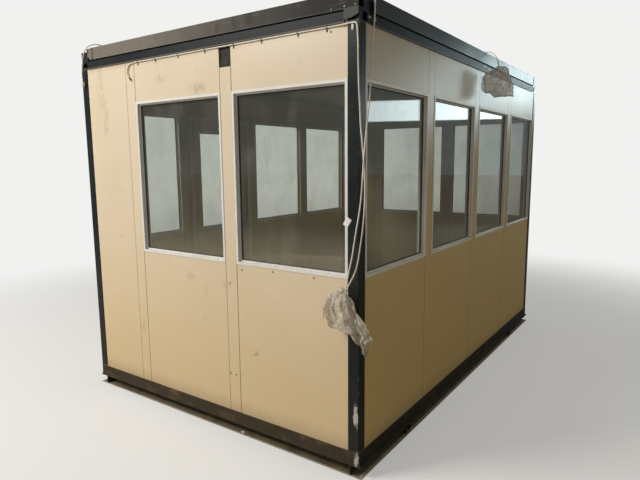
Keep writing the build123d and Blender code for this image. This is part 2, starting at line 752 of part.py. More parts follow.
def tube(name, points, diameter):
    """A round cable through the points, each corner as an arc as large as its two runs allow."""
    corners = []
    for before, here, after in zip(points, points[1:], points[2:]):
        first = Vector(*here) - Vector(*before)
        second = Vector(*after) - Vector(*here)
        turn = radians(first.get_angle(second))
        corners.append(0.45 * min(first.length, second.length) / tan(turn / 2))
    path = FilletPolyline(*points, radius=corners)
    start = Plane(origin=path @ 0, z_dir=path % 0)
    print(name, "length", round(path.length), "radii", [round(r) for r in corners])
    return sweep(start * Circle(diameter / 2), path)


cable_z = STRIP_Z - CABLE_DROP
panel_run_y = -DEPTH / 2 + PANEL_FACE - CABLE / 2 - CABLE_CLEARANCE
post_run_y = -DEPTH / 2 - CABLE / 2 - CABLE_CLEARANCE
front_cable_points = [
    (-632, panel_run_y - 3, 2362), (-655, panel_run_y - 4, 2385), (-660, panel_run_y - 3, 2425),
    (-640, panel_run_y - 1, 2460), (-590, panel_run_y, cable_z), (1070, panel_run_y, cable_z),
    (1130, post_run_y, cable_z),
]
node("front_cable", tube("front_cable", front_cable_points, CABLE))


def cable_clip(x, y):
    """A saddle over the cable, its two legs on the face behind it."""
    bore = CABLE / 2 + CABLE_CLEARANCE
    reach = bore + CLIP_WALL
    outside = Circle(reach) + Pos(bore / 2, 0) * Rectangle(bore, 2 * reach)
    outside -= Pos(2 * bore, 0) * Rectangle(2 * bore, 3 * reach)
    inside = Circle(bore) + Pos(bore, 0) * Rectangle(2 * bore, 2 * bore)
    profile = Plane(origin=(x, y, cable_z), x_dir=(0, 1, 0), z_dir=(1, 0, 0)) * (outside - inside)
    return extrude(profile, CLIP_WIDTH / 2, both=True)


node("cable_clips", *[cable_clip(x, panel_run_y) for x in CLIP_STATIONS])

# Hanging cables: the first goes on from the clipped one, the second comes off the roof

corner_cord_points = [
    (1130, post_run_y, cable_z), (1172, post_run_y - 2, cable_z + 1), (1211, -1838, 2469),
    (1217, -1843, 2425), (1222, -1845, 2374), (1222, -1844, 2294), (1224, -1844, 2212),
    (1226, -1842, 2130), (1230, -1840, 2050), (1232, -1837, 1963), (1238, -1833, 1895),
    (1242, -1829, 1827), (1248, -1826, 1760), (1250, -1824, 1697), (1252, -1825, 1633),
    (1251, -1824, 1562), (1248, -1827, 1492), (1242, -1831, 1415), (1233, -1837, 1339),
    (1222, -1845, 1243), (1207, -1856, 1183), (1187, -1868, 1139), (1174, -1877, 1110),
]
roof_cord_points = [
    (1096, -1640, 2592), (1097, -1641, 2622), (1112, -1650, 2652), (1150, -1672, 2668),
    (1196, -1694, 2667), (1234, -1712, 2646), (1250, -1722, 2605), (1252, -1728, 2550),
    (1252, -1734, 2480), (1251, -1751, 2387), (1253, -1762, 2298), (1254, -1770, 2209),
    (1254, -1780, 2125), (1257, -1800, 2034), (1260, -1822, 1960), (1259, -1832, 1896),
    (1255, -1838, 1827), (1251, -1842, 1749), (1248, -1846, 1665), (1243, -1849, 1581),
    (1234, -1855, 1500), (1222, -1863, 1419), (1213, -1869, 1350), (1206, -1876, 1282),
    (1194, -1883, 1220), (1184, -1887, 1165), (1175, -1888, 1113),
]
side_cord_points = [
    (1110, 236, 2592), (1111, 236, 2614), (1125, 235, 2636), (1155, 233, 2648), (1192, 229, 2650),
    (1232, 220, 2643), (1268, 202, 2621), (1298, 176, 2586), (1318, 148, 2547), (1330, 128, 2508.8),
]
left_cord_points = [
    (-1010, -1750, 2592), (-1011, -1751, 2616), (-1020, -1764, 2640), (-1044, -1788, 2654),
    (-1076, -1818, 2652), (-1104, -1845, 2634), (-1126, -1857, 2598), (-1148, -1855, 2556),
    (-1166, -1852, 2512), (-1180, -1850, 2468), (-1188, -1847, 2424), (-1184, -1845, 2386),
]
node("corner_cord", tube("corner_cord", corner_cord_points, CABLE))
node("roof_cord", tube("roof_cord", roof_cord_points, CABLE))
node("side_cord", tube("side_cord", side_cord_points, CABLE))
node("left_cord", tube("left_cord", left_cord_points, CABLE))


def gland(point):
    """A cable gland that stands on the deck, its mouth where the cable leaves it."""
    x, y, z = point
    foot = FASCIA_Z + FASCIA_STEEL + DECK_SHEET
    body = Pos(x, y, foot) * extrude(RegularPolygon(GLAND_RADIUS, 6), GLAND_NUT)
    return body + Pos(x, y, foot) * extrude(Circle(GLAND_NECK), z - foot)


cord_exits = [points[0] for points in (roof_cord_points, side_cord_points, left_cord_points)]
node("roof_glands", *[gland(point) for point in cord_exits])
knot_x, knot_y, knot_z = KNOT
node("cord_knot", Pos(knot_x, knot_y, knot_z) * Sphere(KNOT_RADIUS))

# Left cable's connector
plug_x, plug_y, plug_z = left_cord_points[-1]
node(
    "left_connector",
    block(
        plug_x - PLUG_WIDTH / 2, plug_x + PLUG_WIDTH / 2, plug_y - PLUG_DEPTH / 2,
        plug_y + PLUG_DEPTH / 2, plug_z - PLUG_LENGTH, plug_z,
    ),
)


def film_bag(sections, turn=0.0):
    """A tied film bag, plain: ellipses (x, y, z, half width, half depth) from the tie down."""
    return loft([Pos(x, y, z) * Rot(0, 0, turn) * Ellipse(a, b) for x, y, z, a, b in reversed(sections)])


node("front_film_bag", film_bag(FRONT_BAG))
node("side_film_bag", film_bag(SIDE_BAG, SIDE_BAG_TURN))

os.makedirs("parts", exist_ok=True)
for name, shape in nodes.items():
    export_step(shape, f"parts/{name}.step")
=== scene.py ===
import json
import math

import bmesh
import bpy
from mathutils import Matrix, Vector


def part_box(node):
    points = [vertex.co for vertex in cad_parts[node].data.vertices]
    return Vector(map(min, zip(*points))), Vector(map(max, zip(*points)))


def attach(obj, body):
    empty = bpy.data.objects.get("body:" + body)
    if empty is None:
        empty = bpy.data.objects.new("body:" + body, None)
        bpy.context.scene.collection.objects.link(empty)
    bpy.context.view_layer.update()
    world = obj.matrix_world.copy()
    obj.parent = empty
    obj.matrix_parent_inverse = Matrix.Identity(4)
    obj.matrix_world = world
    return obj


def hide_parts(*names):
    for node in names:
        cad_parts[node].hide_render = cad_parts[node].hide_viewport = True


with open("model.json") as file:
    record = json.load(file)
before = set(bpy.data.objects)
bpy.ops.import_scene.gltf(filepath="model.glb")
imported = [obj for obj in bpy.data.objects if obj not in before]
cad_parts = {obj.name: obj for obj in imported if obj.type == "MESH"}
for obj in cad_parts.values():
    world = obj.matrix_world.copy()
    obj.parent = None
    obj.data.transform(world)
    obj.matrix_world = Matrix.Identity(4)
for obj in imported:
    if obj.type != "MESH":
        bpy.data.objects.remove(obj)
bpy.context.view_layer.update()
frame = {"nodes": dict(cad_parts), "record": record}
bpy.ops.object.select_all(action="DESELECT")

# Sizes of the cabin, metres
POST_LOW, POST_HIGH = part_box("corner_posts")
WIDTH = POST_HIGH.x - POST_LOW.x
DEPTH = POST_HIGH.y - POST_LOW.y
WALL_Z = POST_LOW.z
STRIP_Z = POST_HIGH.z
FASCIA_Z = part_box("end_fascias")[0].z
TOP_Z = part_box("end_fascias")[1].z
SILL_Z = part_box("front_window_frames")[0].z
HEAD_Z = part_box("front_window_frames")[1].z
POST = 0.070
PILLAR = 0.095
END_BAY = 0.824
SIDE_BAY = 0.808
PANEL_FACE = 0.004
BEAD_EDGE = 0.027
GLASS_FRONT = 0.028
GLASS_BACK = 0.034
CORD = 0.008

# Camera of the photograph, worked out from the cabin's own edges
EYE = Vector((2.6359, -4.2247, 1.7794))
YAW = math.radians(-34.834)
PITCH = math.radians(-8.372)
ROLL = math.radians(-0.496)
FOCAL_PIXELS = 530.86
IMAGE_WIDTH = 640
SENSOR = 36.0


def place_camera():
    """The camera stands where the photographer stood."""
    forward = Vector((math.sin(YAW) * math.cos(PITCH), math.cos(YAW) * math.cos(PITCH), math.sin(PITCH)))
    right = Vector((math.cos(YAW), -math.sin(YAW), 0))
    up = right.cross(forward)
    across = right * math.cos(ROLL) + up * math.sin(ROLL)
    upward = up * math.cos(ROLL) - right * math.sin(ROLL)
    data = bpy.data.cameras.new("camera")
    data.sensor_width = SENSOR
    data.lens = FOCAL_PIXELS * SENSOR / IMAGE_WIDTH
    data.clip_end = 200
    camera = bpy.data.objects.new("camera", data)
    turn = Matrix((across, upward, -forward)).transposed()
    camera.matrix_world = Matrix.Translation(EYE) @ turn.to_4x4()
    bpy.context.scene.collection.objects.link(camera)
    bpy.context.scene.camera = camera


place_camera()


class Wire:
    """A socket of a finish's nodes, used in sums as a number is."""

    def __init__(self, finish, socket):
        self.finish = finish
        self.socket = socket

    def __add__(self, other):
        return self.finish.sum("ADD", self, other)

    __radd__ = __add__

    def __sub__(self, other):
        return self.finish.sum("SUBTRACT", self, other)

    def __rsub__(self, other):
        return self.finish.sum("SUBTRACT", other, self)

    def __mul__(self, other):
        return self.finish.sum("MULTIPLY", self, other)

    __rmul__ = __mul__

    def __truediv__(self, other):
        return self.finish.sum("DIVIDE", self, other)

    def __lt__(self, other):
        return self.finish.sum("LESS_THAN", self, other)

    def __gt__(self, other):
        return self.finish.sum("GREATER_THAN", self, other)


class Finish:
    """One material: its principled shader and the nodes that drive it."""

    def __init__(self, name, **constants):
        self.material = bpy.data.materials.new(name)
        self.material.use_nodes = True
        self.tree = self.material.node_tree
        self.shader = self.tree.nodes["Principled BSDF"]
        for key, value in constants.items():
            self.shader.inputs[key.replace("_", " ")].default_value = value
        self.place = self.node("ShaderNodeTexCoord", out="Object")

    def node(self, kind, settings=None, inputs=None, out=0):
        """A node of any kind; its settings come first, then the values or links of its sockets."""
        made = self.tree.nodes.new(kind)
        for key, value in (settings or {}).items():
            setattr(made, key, value)
        for key, value in (inputs or {}).items():
            self.feed(made.inputs[key], value)
        return Wire(self, made.outputs[out])

    def feed(self, socket, value):
        if isinstance(value, Wire):
            self.tree.links.new(value.socket, socket)
        elif socket.type == "RGBA" and len(value) == 3:
            socket.default_value = (*value, 1)
        else:
            socket.default_value = value

    def sum(self, operation, first, second=0.0):
        return self.node("ShaderNodeMath", {"operation": operation}, {0: first, 1: second})

    def axis(self, letter):
        """The place along one axis, in metres."""
        return self.node("ShaderNodeSeparateXYZ", inputs={0: self.place}, out="XYZ".index(letter))

    def facing(self, letter):
        """The surface's direction along one axis, from -1 to 1."""
        normal = self.node("ShaderNodeNewGeometry", out="Normal")
        return self.node("ShaderNodeSeparateXYZ", inputs={0: normal}, out="XYZ".index(letter))

    def least(self, first, second):
        return self.sum("MINIMUM", first, second)

    def most(self, first, second):
        return self.sum("MAXIMUM", first, second)

    def size(self, value):
        return self.sum("ABSOLUTE", value)

    def step(self, value, low, high):
        """0 at low and 1 at high, smooth between; high may be the lower of the two."""
        settings = {"interpolation_type": "SMOOTHSTEP"}
        if low < high:
            return self.node("ShaderNodeMapRange", settings, {0: value, 1: low, 2: high})
        return 1 - self.node("ShaderNodeMapRange", settings, {0: value, 1: high, 2: low})

    def clouds(self, scale, detail=3.0, roughness=0.55, stretch=(1, 1, 1), offset=(0, 0, 0)):
        """Soft noise, about 0.5 in the middle; stretch scales the pattern along each axis."""
        place = self.node("ShaderNodeMapping", inputs={0: self.place, 1: offset, 3: stretch})
        inputs = {"Vector": place, "Scale": scale, "Detail": detail, "Roughness": roughness}
        return self.node("ShaderNodeTexNoise", inputs=inputs)

    def cells(self, scale, feature="F1"):
        """The distance to the nearest of many scattered points, or to the cells' edges."""
        settings = {"feature": feature}
        return self.node("ShaderNodeTexVoronoi", settings, {"Vector": self.place, "Scale": scale})

    def spot(self, letters, centre, radii):
        """1 at a place on a wall, fading to 0 at its radii; letters are the wall's two axes."""
        across = (self.axis(letters[0]) - centre[0]) / radii[0]
        up = (self.axis(letters[1]) - centre[1]) / radii[1]
        return self.step(across * across + up * up, 1.0, 0.05)

    def blend(self, under, over, share):
        """The colour under, covered by the colour over where share is 1."""
        made = self.tree.nodes.new("ShaderNodeMix")
        made.data_type = "RGBA"
        for index, value in ((0, share), (6, under), (7, over)):
            self.feed(made.inputs[index], value)
        return Wire(self, made.outputs[2])

    def colour(self, value):
        self.feed(self.shader.inputs["Base Color"], value)

    def roughness(self, value):
        self.feed(self.shader.inputs["Roughness"], value)

    def bump(self, height, distance, strength=1.0):
        inputs = {"Height": height, "Distance": distance, "Strength": strength}
        self.feed(self.shader.inputs["Normal"], self.node("ShaderNodeBump", inputs=inputs, out="Normal"))


# Finishes


def cream_sheet():
    """Satin coated sheet: soft shades, rub marks, runs below the roof, dust at the foot and in the joints;
    painted shade just under the roof's edge, and on the side walls a tint that is partly the sheet's own
    yellower tone and partly painted shade and warm light.
    """
    f = Finish("cream_sheet", Specular_IOR_Level=0.5)
    x, y, z = f.axis("X"), f.axis("Y"), f.axis("Z")
    front = f.facing("Y") < -0.6
    clouds = f.clouds(1.3, detail=4)
    colour = f.blend((0.70, 0.60, 0.455), (0.665, 0.56, 0.41), f.step(clouds, 0.3, 0.7))
    colour = f.blend(colour, (0.64, 0.495, 0.285), 0.9 * f.step(z, SILL_Z + 0.5, WALL_Z))
    sides = f.size(f.facing("X")) > 0.6
    # Side walls: partly the sheet's own yellower tone, partly painted shade and warm light; darker grey-olive
    # high up, yellower low down, stronger on the right wall.
    side_wall_tint_and_shade = f.blend((0.44, 0.385, 0.27), (0.60, 0.43, 0.15), f.step(z, HEAD_Z, SILL_Z))
    colour = f.blend(colour, side_wall_tint_and_shade, (0.35 + 0.40 * (f.facing("X") > 0.6)) * sides)
    runs = f.clouds(9, detail=3, stretch=(1, 1, 0.06))
    below_roof = f.step(z, HEAD_Z, STRIP_Z)
    colour = f.blend(colour, (0.40, 0.33, 0.25), 0.28 * f.step(runs, 0.52, 0.78) * below_roof)
    # Painted shadow: the wall darker just under the roof strip, where its overhang shades it.
    eaves = f.step(z, STRIP_Z - 0.05, STRIP_Z)
    colour = f.blend(colour, (0.36, 0.29, 0.22), 0.30 * eaves)
    rubs = f.clouds(6, detail=6, roughness=0.7, offset=(3.1, 1.7, 0.4))
    colour = f.blend(colour, (0.42, 0.34, 0.24), 0.35 * f.step(rubs, 0.61, 0.76))
    smears = f.clouds(30, detail=5, roughness=0.65, stretch=(1, 1, 0.6))
    for centre, radii, share in (
        ((-1.000, 2.35), (0.05, 0.22), 0.5), ((-0.955, 2.10), (0.04, 0.20), 0.4),
        ((-0.314, 2.335), (0.09, 0.04), 0.4), ((0.024, 2.244), (0.10, 0.05), 0.5),
        ((-0.113, 1.019), (0.06, 0.035), 0.35), ((0.028, 0.933), (0.05, 0.05), 0.35),
        ((-0.652, 0.575), (0.03, 0.09), 0.5), ((0.467, 0.585), (0.03, 0.03), 0.9),
    ):
        mark = f.spot("XZ", centre, radii) * front * f.step(smears, 0.38, 0.66)
        colour = f.blend(colour, (0.33, 0.26, 0.18), share * mark)
    for joint, share in ((-0.594, 0.85), (0.325, 0.85), (-0.689, 0.3), (0.230, 0.3)):
        line = f.step(f.size(x - joint), 0.0042, 0.0012) * front
        colour = f.blend(colour, (0.16, 0.12, 0.085), share * line)
    for bay in range(3):
        joint = POST - DEPTH / 2 + (bay + 1) * SIDE_BAY + bay * PILLAR
        line = f.step(f.size(y - joint), 0.0042, 0.0012) * sides
        colour = f.blend(colour, (0.16, 0.12, 0.085), 0.75 * line)
    groove = (f.size(f.facing("X")) > 0.3) * (f.size(f.facing("Y")) > 0.3)
    colour = f.blend(colour, (0.20, 0.155, 0.11), 0.3 * groove)
    splash = f.clouds(14, detail=5, roughness=0.65)
    foot = f.step(z + 0.08 * splash, WALL_Z + 0.15, WALL_Z + 0.03)
    colour = f.blend(colour, (0.30, 0.225, 0.13), 0.45 * foot)
    f.colour(colour)
    f.roughness(0.25 + 0.12 * f.clouds(3, detail=5) + 0.3 * foot)
    f.bump(f.clouds(1.6, detail=1) + 0.012 * f.clouds(260, detail=1), 0.006, 0.35)
    return f.material


def anthracite_paint(name, sheen, rough):
    """Dark grey paint on steel: dusty ledges, brown stains low down, pale wear along edges and the base
    band's lower rim; a painted highlight along the roof strip's lip, painted glints beside worn spots on the
    right side strip, and painted shade on the base band's side faces.
    """
    f = Finish(name, Specular_IOR_Level=sheen)
    x, y, z = f.axis("X"), f.axis("Y"), f.axis("Z")
    clouds = f.clouds(4, detail=5)
    colour = f.blend((0.011, 0.015, 0.017), (0.018, 0.022, 0.023), f.step(clouds, 0.3, 0.7))
    dust = f.clouds(11, detail=6, roughness=0.65)
    haze = f.step(z, WALL_Z + 0.5, WALL_Z) * f.step(dust, 0.2, 0.8)
    colour = f.blend(colour, (0.060, 0.048, 0.028), 0.35 * haze)
    band = f.step(z, WALL_Z + 0.012, WALL_Z - 0.012)
    stains = f.clouds(7, detail=6, roughness=0.7, stretch=(1, 1, 1.6), offset=(5, 2, 1))
    colour = f.blend(colour, (0.052, 0.038, 0.020), 0.75 * band)
    colour = f.blend(colour, (0.125, 0.085, 0.045), 0.8 * band * f.step(stains, 0.50, 0.72))
    colour = f.blend(colour, (0.022, 0.020, 0.017), 0.8 * band * f.step(stains, 0.42, 0.28))
    sides = f.size(f.facing("X")) > 0.6
    # Painted shade: the base band darker on its side faces, which face away from the light.
    colour = f.blend(colour, (0.012, 0.010, 0.007), 0.6 * band * sides)
    ledge = f.step(f.facing("Z"), 0.4, 0.8)
    rim = band * f.step(z, WALL_Z - 0.004, WALL_Z - 0.001)
    pale = f.most(ledge * 0.85, rim * f.step(dust, 0.30, 0.55) * 0.8)
    colour = f.blend(colour, (0.20, 0.165, 0.115), pale)
    # Painted highlight: the roof strip's lower lip paler, as an edge catching the light.
    lip = f.step(z, STRIP_Z + 0.0075, STRIP_Z + 0.0055) * (z > STRIP_Z - 0.0005)
    colour = f.blend(colour, (0.15, 0.135, 0.115), 0.8 * lip)
    specks = f.clouds(70, detail=4, roughness=0.7, stretch=(1, 1, 0.3))
    edge_x = f.size(f.size(x) - WIDTH / 2)
    edge_y = f.size(f.size(y) - DEPTH / 2)
    edge = f.step(f.most(edge_x, edge_y), 0.012, 0.003)
    colour = f.blend(colour, (0.26, 0.26, 0.24), 0.6 * edge * f.step(specks, 0.60, 0.68))
    scuffs = f.clouds(95, detail=5, roughness=0.75, stretch=(1, 1, 0.35), offset=(0.7, 0.2, 0.9))
    for centre, radii in (((1.200, 0.361), (0.024, 0.120)), ((1.205, 0.108), (0.024, 0.084))):
        fading = 0.35 * f.step(z, centre[1], centre[1] - radii[1])
        wear_and_lit_edge = f.step(
            f.spot("XZ", centre, radii) + 3.2 * scuffs - fading, 2.24, 2.62
        ) * (y < 0.01 - DEPTH / 2)
        colour = f.blend(colour, (0.50, 0.48, 0.44), 0.95 * wear_and_lit_edge)
    # Pale spots on the right side strip: worn paint near the front corner, and painted glints of reflected
    # light beside the eaves bag.
    for centre, radii in (
        ((-1.755, 2.512), (0.022, 0.007)), ((-1.715, 2.515), (0.016, 0.009)),
        ((-1.665, 2.512), (0.012, 0.011)),
        ((0.150, 2.522), (0.060, 0.012)), ((0.255, 2.514), (0.050, 0.014)),
    ):
        worn_spots_and_glints = f.spot("YZ", centre, radii) * (x > WIDTH / 2 - 0.02)
        colour = f.blend(colour, (0.55, 0.60, 0.60), 0.9 * worn_spots_and_glints)
    seam = f.step(f.size(y + 1.277), 0.004, 0.001) * (z > STRIP_Z - 0.001)
    colour = f.blend(colour, (0.008, 0.010, 0.011), 0.8 * seam)
    f.colour(colour)
    f.roughness(rough + 0.38 * f.most(pale, band) + 0.10 * clouds)
    f.bump(f.clouds(90, detail=2) + 0.6 * f.clouds(9, detail=2), 0.0005, 0.3)
    return f.material


def edge_profile_paint():
    """The roof's edge: dusty and brushed on the end walls, glossy blue-black along the sides; a painted
    highlight along its lower edge and a painted shade line at the left end plate's fold.
    """
    f = Finish("edge_profile_paint", Specular_IOR_Level=0.3)
    x, y, z = f.axis("X"), f.axis("Y"), f.axis("Z")
    end = f.size(f.facing("Y")) > 0.6
    clouds = f.clouds(3, detail=5, stretch=(1, 1, 0.5))
    glossy = f.blend((0.026, 0.038, 0.040), (0.040, 0.052, 0.054), f.step(clouds, 0.3, 0.7))
    dust = f.step(x + 0.9 * clouds, 1.45, -0.3)
    dusty = f.blend((0.024, 0.021, 0.018), (0.155, 0.137, 0.110), dust)
    brushed = f.clouds(16, detail=6, roughness=0.7, stretch=(1, 1, 0.22), offset=(0.4, 0, 0))
    dusty = f.blend(dusty, (0.035, 0.034, 0.032), 0.55 * f.step(brushed, 0.55, 0.72))
    for centre, radii in (
        ((0.241, 2.575), (0.030, 0.05)), ((0.388, 2.585), (0.045, 0.06)), ((0.489, 2.600), (0.055, 0.05)),
        ((0.62, 2.60), (0.05, 0.05)), ((-0.30, 2.60), (0.05, 0.03)), ((0.86, 2.57), (0.12, 0.05)),
    ):
        mark = f.spot("XZ", centre, radii) * f.step(brushed, 0.40, 0.58)
        dusty = f.blend(dusty, (0.028, 0.028, 0.028), 0.75 * mark)
    streaks = f.clouds(40, detail=4, roughness=0.7, stretch=(0.15, 1, 1))
    dusty = f.blend(dusty, (0.20, 0.18, 0.15), 0.3 * f.step(streaks, 0.56, 0.7))
    colour = f.blend(glossy, dusty, end)
    # Painted shade: a dark line along the left end plate's fold.
    fold = f.step(f.size(x + 1.054), 0.006, 0.002) * end
    colour = f.blend(colour, (0.05, 0.045, 0.035), 0.7 * fold)
    # Painted highlight: a paler line along the profile's lower edge, as a lit edge.
    wear_and_lit_edge = f.step(z, FASCIA_Z + 0.006, FASCIA_Z + 0.001)
    colour = f.blend(colour, (0.16, 0.17, 0.165), 0.4 * wear_and_lit_edge)
    ledge = f.step(f.facing("Z"), 0.4, 0.8)
    colour = f.blend(colour, (0.22, 0.195, 0.155), 0.85 * ledge)
    f.colour(colour)
    f.roughness(0.24 + 0.46 * end + 0.10 * clouds + 0.3 * ledge)
    f.bump(4 * f.clouds(1.7, detail=1, stretch=(1, 1, 0.15)) + 0.06 * f.clouds(90, detail=2), 0.006, 0.5)
    return f.material


def skid_dust():
    """Dark skid steel under yellow-brown dust, with a painted highlight along the lit edges of its lower
    flange.
    """
    f = Finish("skid_dust", Specular_IOR_Level=0.35)
    x, y, z = f.axis("X"), f.axis("Y"), f.axis("Z")
    dust = f.clouds(9, detail=6, roughness=0.7)
    colour = f.blend((0.024, 0.020, 0.015), (0.050, 0.040, 0.027), f.step(dust, 0.3, 0.7))
    ledge = f.step(f.facing("Z"), 0.4, 0.8) * (z < 0.03)
    colour = f.blend(colour, (0.235, 0.175, 0.100), ledge * f.step(dust, 0.30, 0.60) * 0.9)
    colour = f.blend(colour, (0.085, 0.066, 0.042), 0.6 * ledge)
    # Painted highlight: the lower flange's outer edges and the rim of its top paler, as edges catching the
    # light.
    lit_edge_highlight = (z < 0.0062) * (f.size(f.facing("Z")) < 0.5)
    near_rim = ledge * f.step(
        f.most(f.size(x) - (WIDTH / 2 - 0.006), f.size(y) - (DEPTH / 2 - 0.010)), 0.0, 0.004
    )
    highlight_breakup = f.clouds(30, detail=4)
    colour = f.blend(colour, (0.36, 0.31, 0.235), f.most(lit_edge_highlight, 0.8 * near_rim) * f.step(highlight_breakup, 0.2, 0.5))
    f.colour(colour)
    f.roughness(0.62 + 0.2 * dust)
    f.bump(f.clouds(70, detail=3), 0.0008, 0.5)
    return f.material


def mottled_plate():
    """The pillar's cover plate: dull grey-brown with pale specks and scratches."""
    f = Finish("mottled_plate", Specular_IOR_Level=0.15)
    clouds = f.clouds(22, detail=6, roughness=0.75)
    colour = f.blend((0.016, 0.013, 0.010), (0.048, 0.040, 0.030), f.step(clouds, 0.40, 0.66))
    specks = f.clouds(120, detail=3, roughness=0.8, stretch=(1, 1, 0.4))
    colour = f.blend(colour, (0.25, 0.225, 0.185), 0.8 * f.step(specks, 0.62, 0.70))
    f.colour(colour)
    f.roughness(0.5 + 0.2 * clouds)
    f.bump(f.clouds(120, detail=3), 0.0006, 0.5)
    return f.material


def ribbed_roof_sheet():
    """Galvanised roof sheet under dust that has run to the hollows between its ribs."""
    f = Finish("ribbed_roof_sheet", Specular_IOR_Level=0.5)
    z = f.axis("Z")
    spangle = f.cells(60)
    dust = f.clouds(2.5, detail=6, roughness=0.65)
    colour = f.blend((0.30, 0.31, 0.31), (0.24, 0.25, 0.25), f.step(spangle, 0.2, 0.6))
    hollow = f.step(z, FASCIA_Z + 0.030, FASCIA_Z + 0.014)
    colour = f.blend(colour, (0.20, 0.175, 0.135), (0.35 + 0.5 * hollow) * f.step(dust, 0.25, 0.65))
    f.colour(colour)
    f.roughness(0.45 + 0.3 * dust)
    f.bump(f.clouds(40, detail=3), 0.0008, 0.4)
    return f.material


def shaded(name, colour, second, scale, rough, grain=0.0004, **constants):
    """A finish of two near colours in soft clouds, with a fine grain."""
    f = Finish(name, **constants)
    f.colour(f.blend(colour, second, f.step(f.clouds(scale, detail=5, roughness=0.65), 0.32, 0.68)))
    f.roughness(rough + 0.15 * f.clouds(scale * 3, detail=4))
    f.bump(f.clouds(scale * 20, detail=2), grain, 0.4)
    return f.material


def white_frame_coating():
    """Off-white coated aluminium, greyer in its corners and along the beads."""
    f = Finish("white_frame_coating", Specular_IOR_Level=0.5)
    clouds = f.clouds(7, detail=5)
    colour = f.blend((0.74, 0.735, 0.71), (0.68, 0.665, 0.63), f.step(clouds, 0.3, 0.7))
    grime = f.clouds(45, detail=5, roughness=0.7)
    ledge = f.step(f.facing("Z"), 0.4, 0.8)
    colour = f.blend(colour, (0.34, 0.295, 0.22), ledge * 0.65 * f.step(grime, 0.3, 0.6))
    colour = f.blend(colour, (0.40, 0.36, 0.30), 0.45 * f.step(grime, 0.60, 0.75))
    f.colour(colour)
    f.roughness(0.30 + 0.15 * clouds)
    f.bump(f.clouds(300, detail=1), 0.0002, 0.3)
    return f.material


def window_glass():
    """Thin clear glass that carries dust, thicker towards the sill, and mirrors more at a slant."""
    f = Finish("window_glass")
    tree = f.tree
    z = f.axis("Z")
    haze = f.clouds(3, detail=5, roughness=0.6)
    wiped = f.clouds(5, detail=4, roughness=0.6, stretch=(1, 1, 0.35), offset=(2, 1, 0))
    f.colour(f.blend((0.36, 0.355, 0.32), (0.42, 0.39, 0.31), f.step(z, SILL_Z + 0.3, SILL_Z)))
    f.roughness(0.55)
    through = tree.nodes.new("ShaderNodeBsdfTransparent")
    through.inputs["Color"].default_value = (0.90, 0.915, 0.89, 1)
    mirror = tree.nodes.new("ShaderNodeBsdfGlossy")
    mirror.inputs["Color"].default_value = (0.93, 0.97, 0.97, 1)
    mirror.inputs["Roughness"].default_value = 0.03
    dusty = tree.nodes.new("ShaderNodeMixShader")
    sill = f.step(z, SILL_Z + 0.35, SILL_Z)
    f.feed(
        dusty.inputs[0],
        0.045 + 0.06 * f.step(haze, 0.40, 0.75) + 0.05 * f.step(wiped, 0.5, 0.7) + 0.08 * sill,
    )
    tree.links.new(through.outputs[0], dusty.inputs[1])
    tree.links.new(f.shader.outputs[0], dusty.inputs[2])
    final = tree.nodes.new("ShaderNodeMixShader")
    slant = f.node("ShaderNodeLayerWeight", inputs={"Blend": 0.5}, out="Facing")
    f.feed(final.inputs[0], f.least(0.06 + 1.6 * f.sum("POWER", slant, 5.0), 1.0))
    tree.links.new(dusty.outputs[0], final.inputs[1])
    tree.links.new(mirror.outputs[0], final.inputs[2])
    tree.links.new(final.outputs[0], tree.nodes["Material Output"].inputs["Surface"])
    return f.material


def clear_film():
    """Crumpled clear film: see-through in its faces, with painted highlights, paler and more opaque, along
    its folds.
    """
    f = Finish("clear_film", Specular_IOR_Level=0.55, Roughness=0.32)
    wide = f.clouds(15, detail=3, roughness=0.55, stretch=(1.3, 1.3, 0.45))
    fine = f.clouds(42, detail=3, roughness=0.6, stretch=(1.2, 1.2, 0.5), offset=(2, 5, 1))
    ridge = f.step(f.size(wide - 0.52), 0.03, 0.0)
    hair = f.step(f.size(fine - 0.5), 0.022, 0.0)
    # Painted highlight: thin pale, more opaque lines along the film's folds.
    painted_fold_highlight = f.most(0.6 * ridge, 0.5 * hair)
    colour = f.blend((0.62, 0.56, 0.46), (0.38, 0.33, 0.25), f.step(wide, 0.44, 0.64))
    colour = f.blend(colour, (0.82, 0.80, 0.74), painted_fold_highlight)
    f.colour(colour)
    f.feed(f.shader.inputs["Alpha"], 0.22 + 0.32 * painted_fold_highlight + 0.20 * f.step(wide, 0.62, 0.42))
    f.bump(0.25 * fine + wide, 0.005, 0.5)
    return f.material


CREAM = cream_sheet()
ANTHRACITE = anthracite_paint("anthracite_paint", 0.3, 0.22)
STRIP_PAINT = anthracite_paint("roof_strip_paint", 0.12, 0.34)
EDGE_PROFILE = edge_profile_paint()
SKID = skid_dust()
MOTTLED = mottled_plate()
ROOF = ribbed_roof_sheet()
CEILING = shaded("ceiling_board", (0.42, 0.41, 0.37), (0.34, 0.33, 0.29), 2, 0.5)
FLOOR = shaded("floor_vinyl", (0.15, 0.145, 0.13), (0.095, 0.09, 0.08), 4, 0.42)
WHITE = white_frame_coating()
STEEL = shaded("brushed_fittings", (0.50, 0.50, 0.49), (0.40, 0.40, 0.39), 30, 0.28, Metallic=1.0)
RUSTY = shaded("rusty_screw", (0.13, 0.085, 0.05), (0.07, 0.05, 0.035), 60, 0.55)
RIVET = shaded("pale_rivet", (0.42, 0.42, 0.40), (0.30, 0.30, 0.28), 60, 0.35)
RUBBER = shaded("gasket_rubber", (0.030, 0.030, 0.030), (0.055, 0.052, 0.047), 30, 0.6)
SHEATH = shaded("cable_sheath", (0.76, 0.72, 0.64), (0.66, 0.61, 0.52), 16, 0.40)
PALE_PLASTIC = shaded("pale_plastic", (0.70, 0.685, 0.62), (0.60, 0.58, 0.51), 25, 0.38)
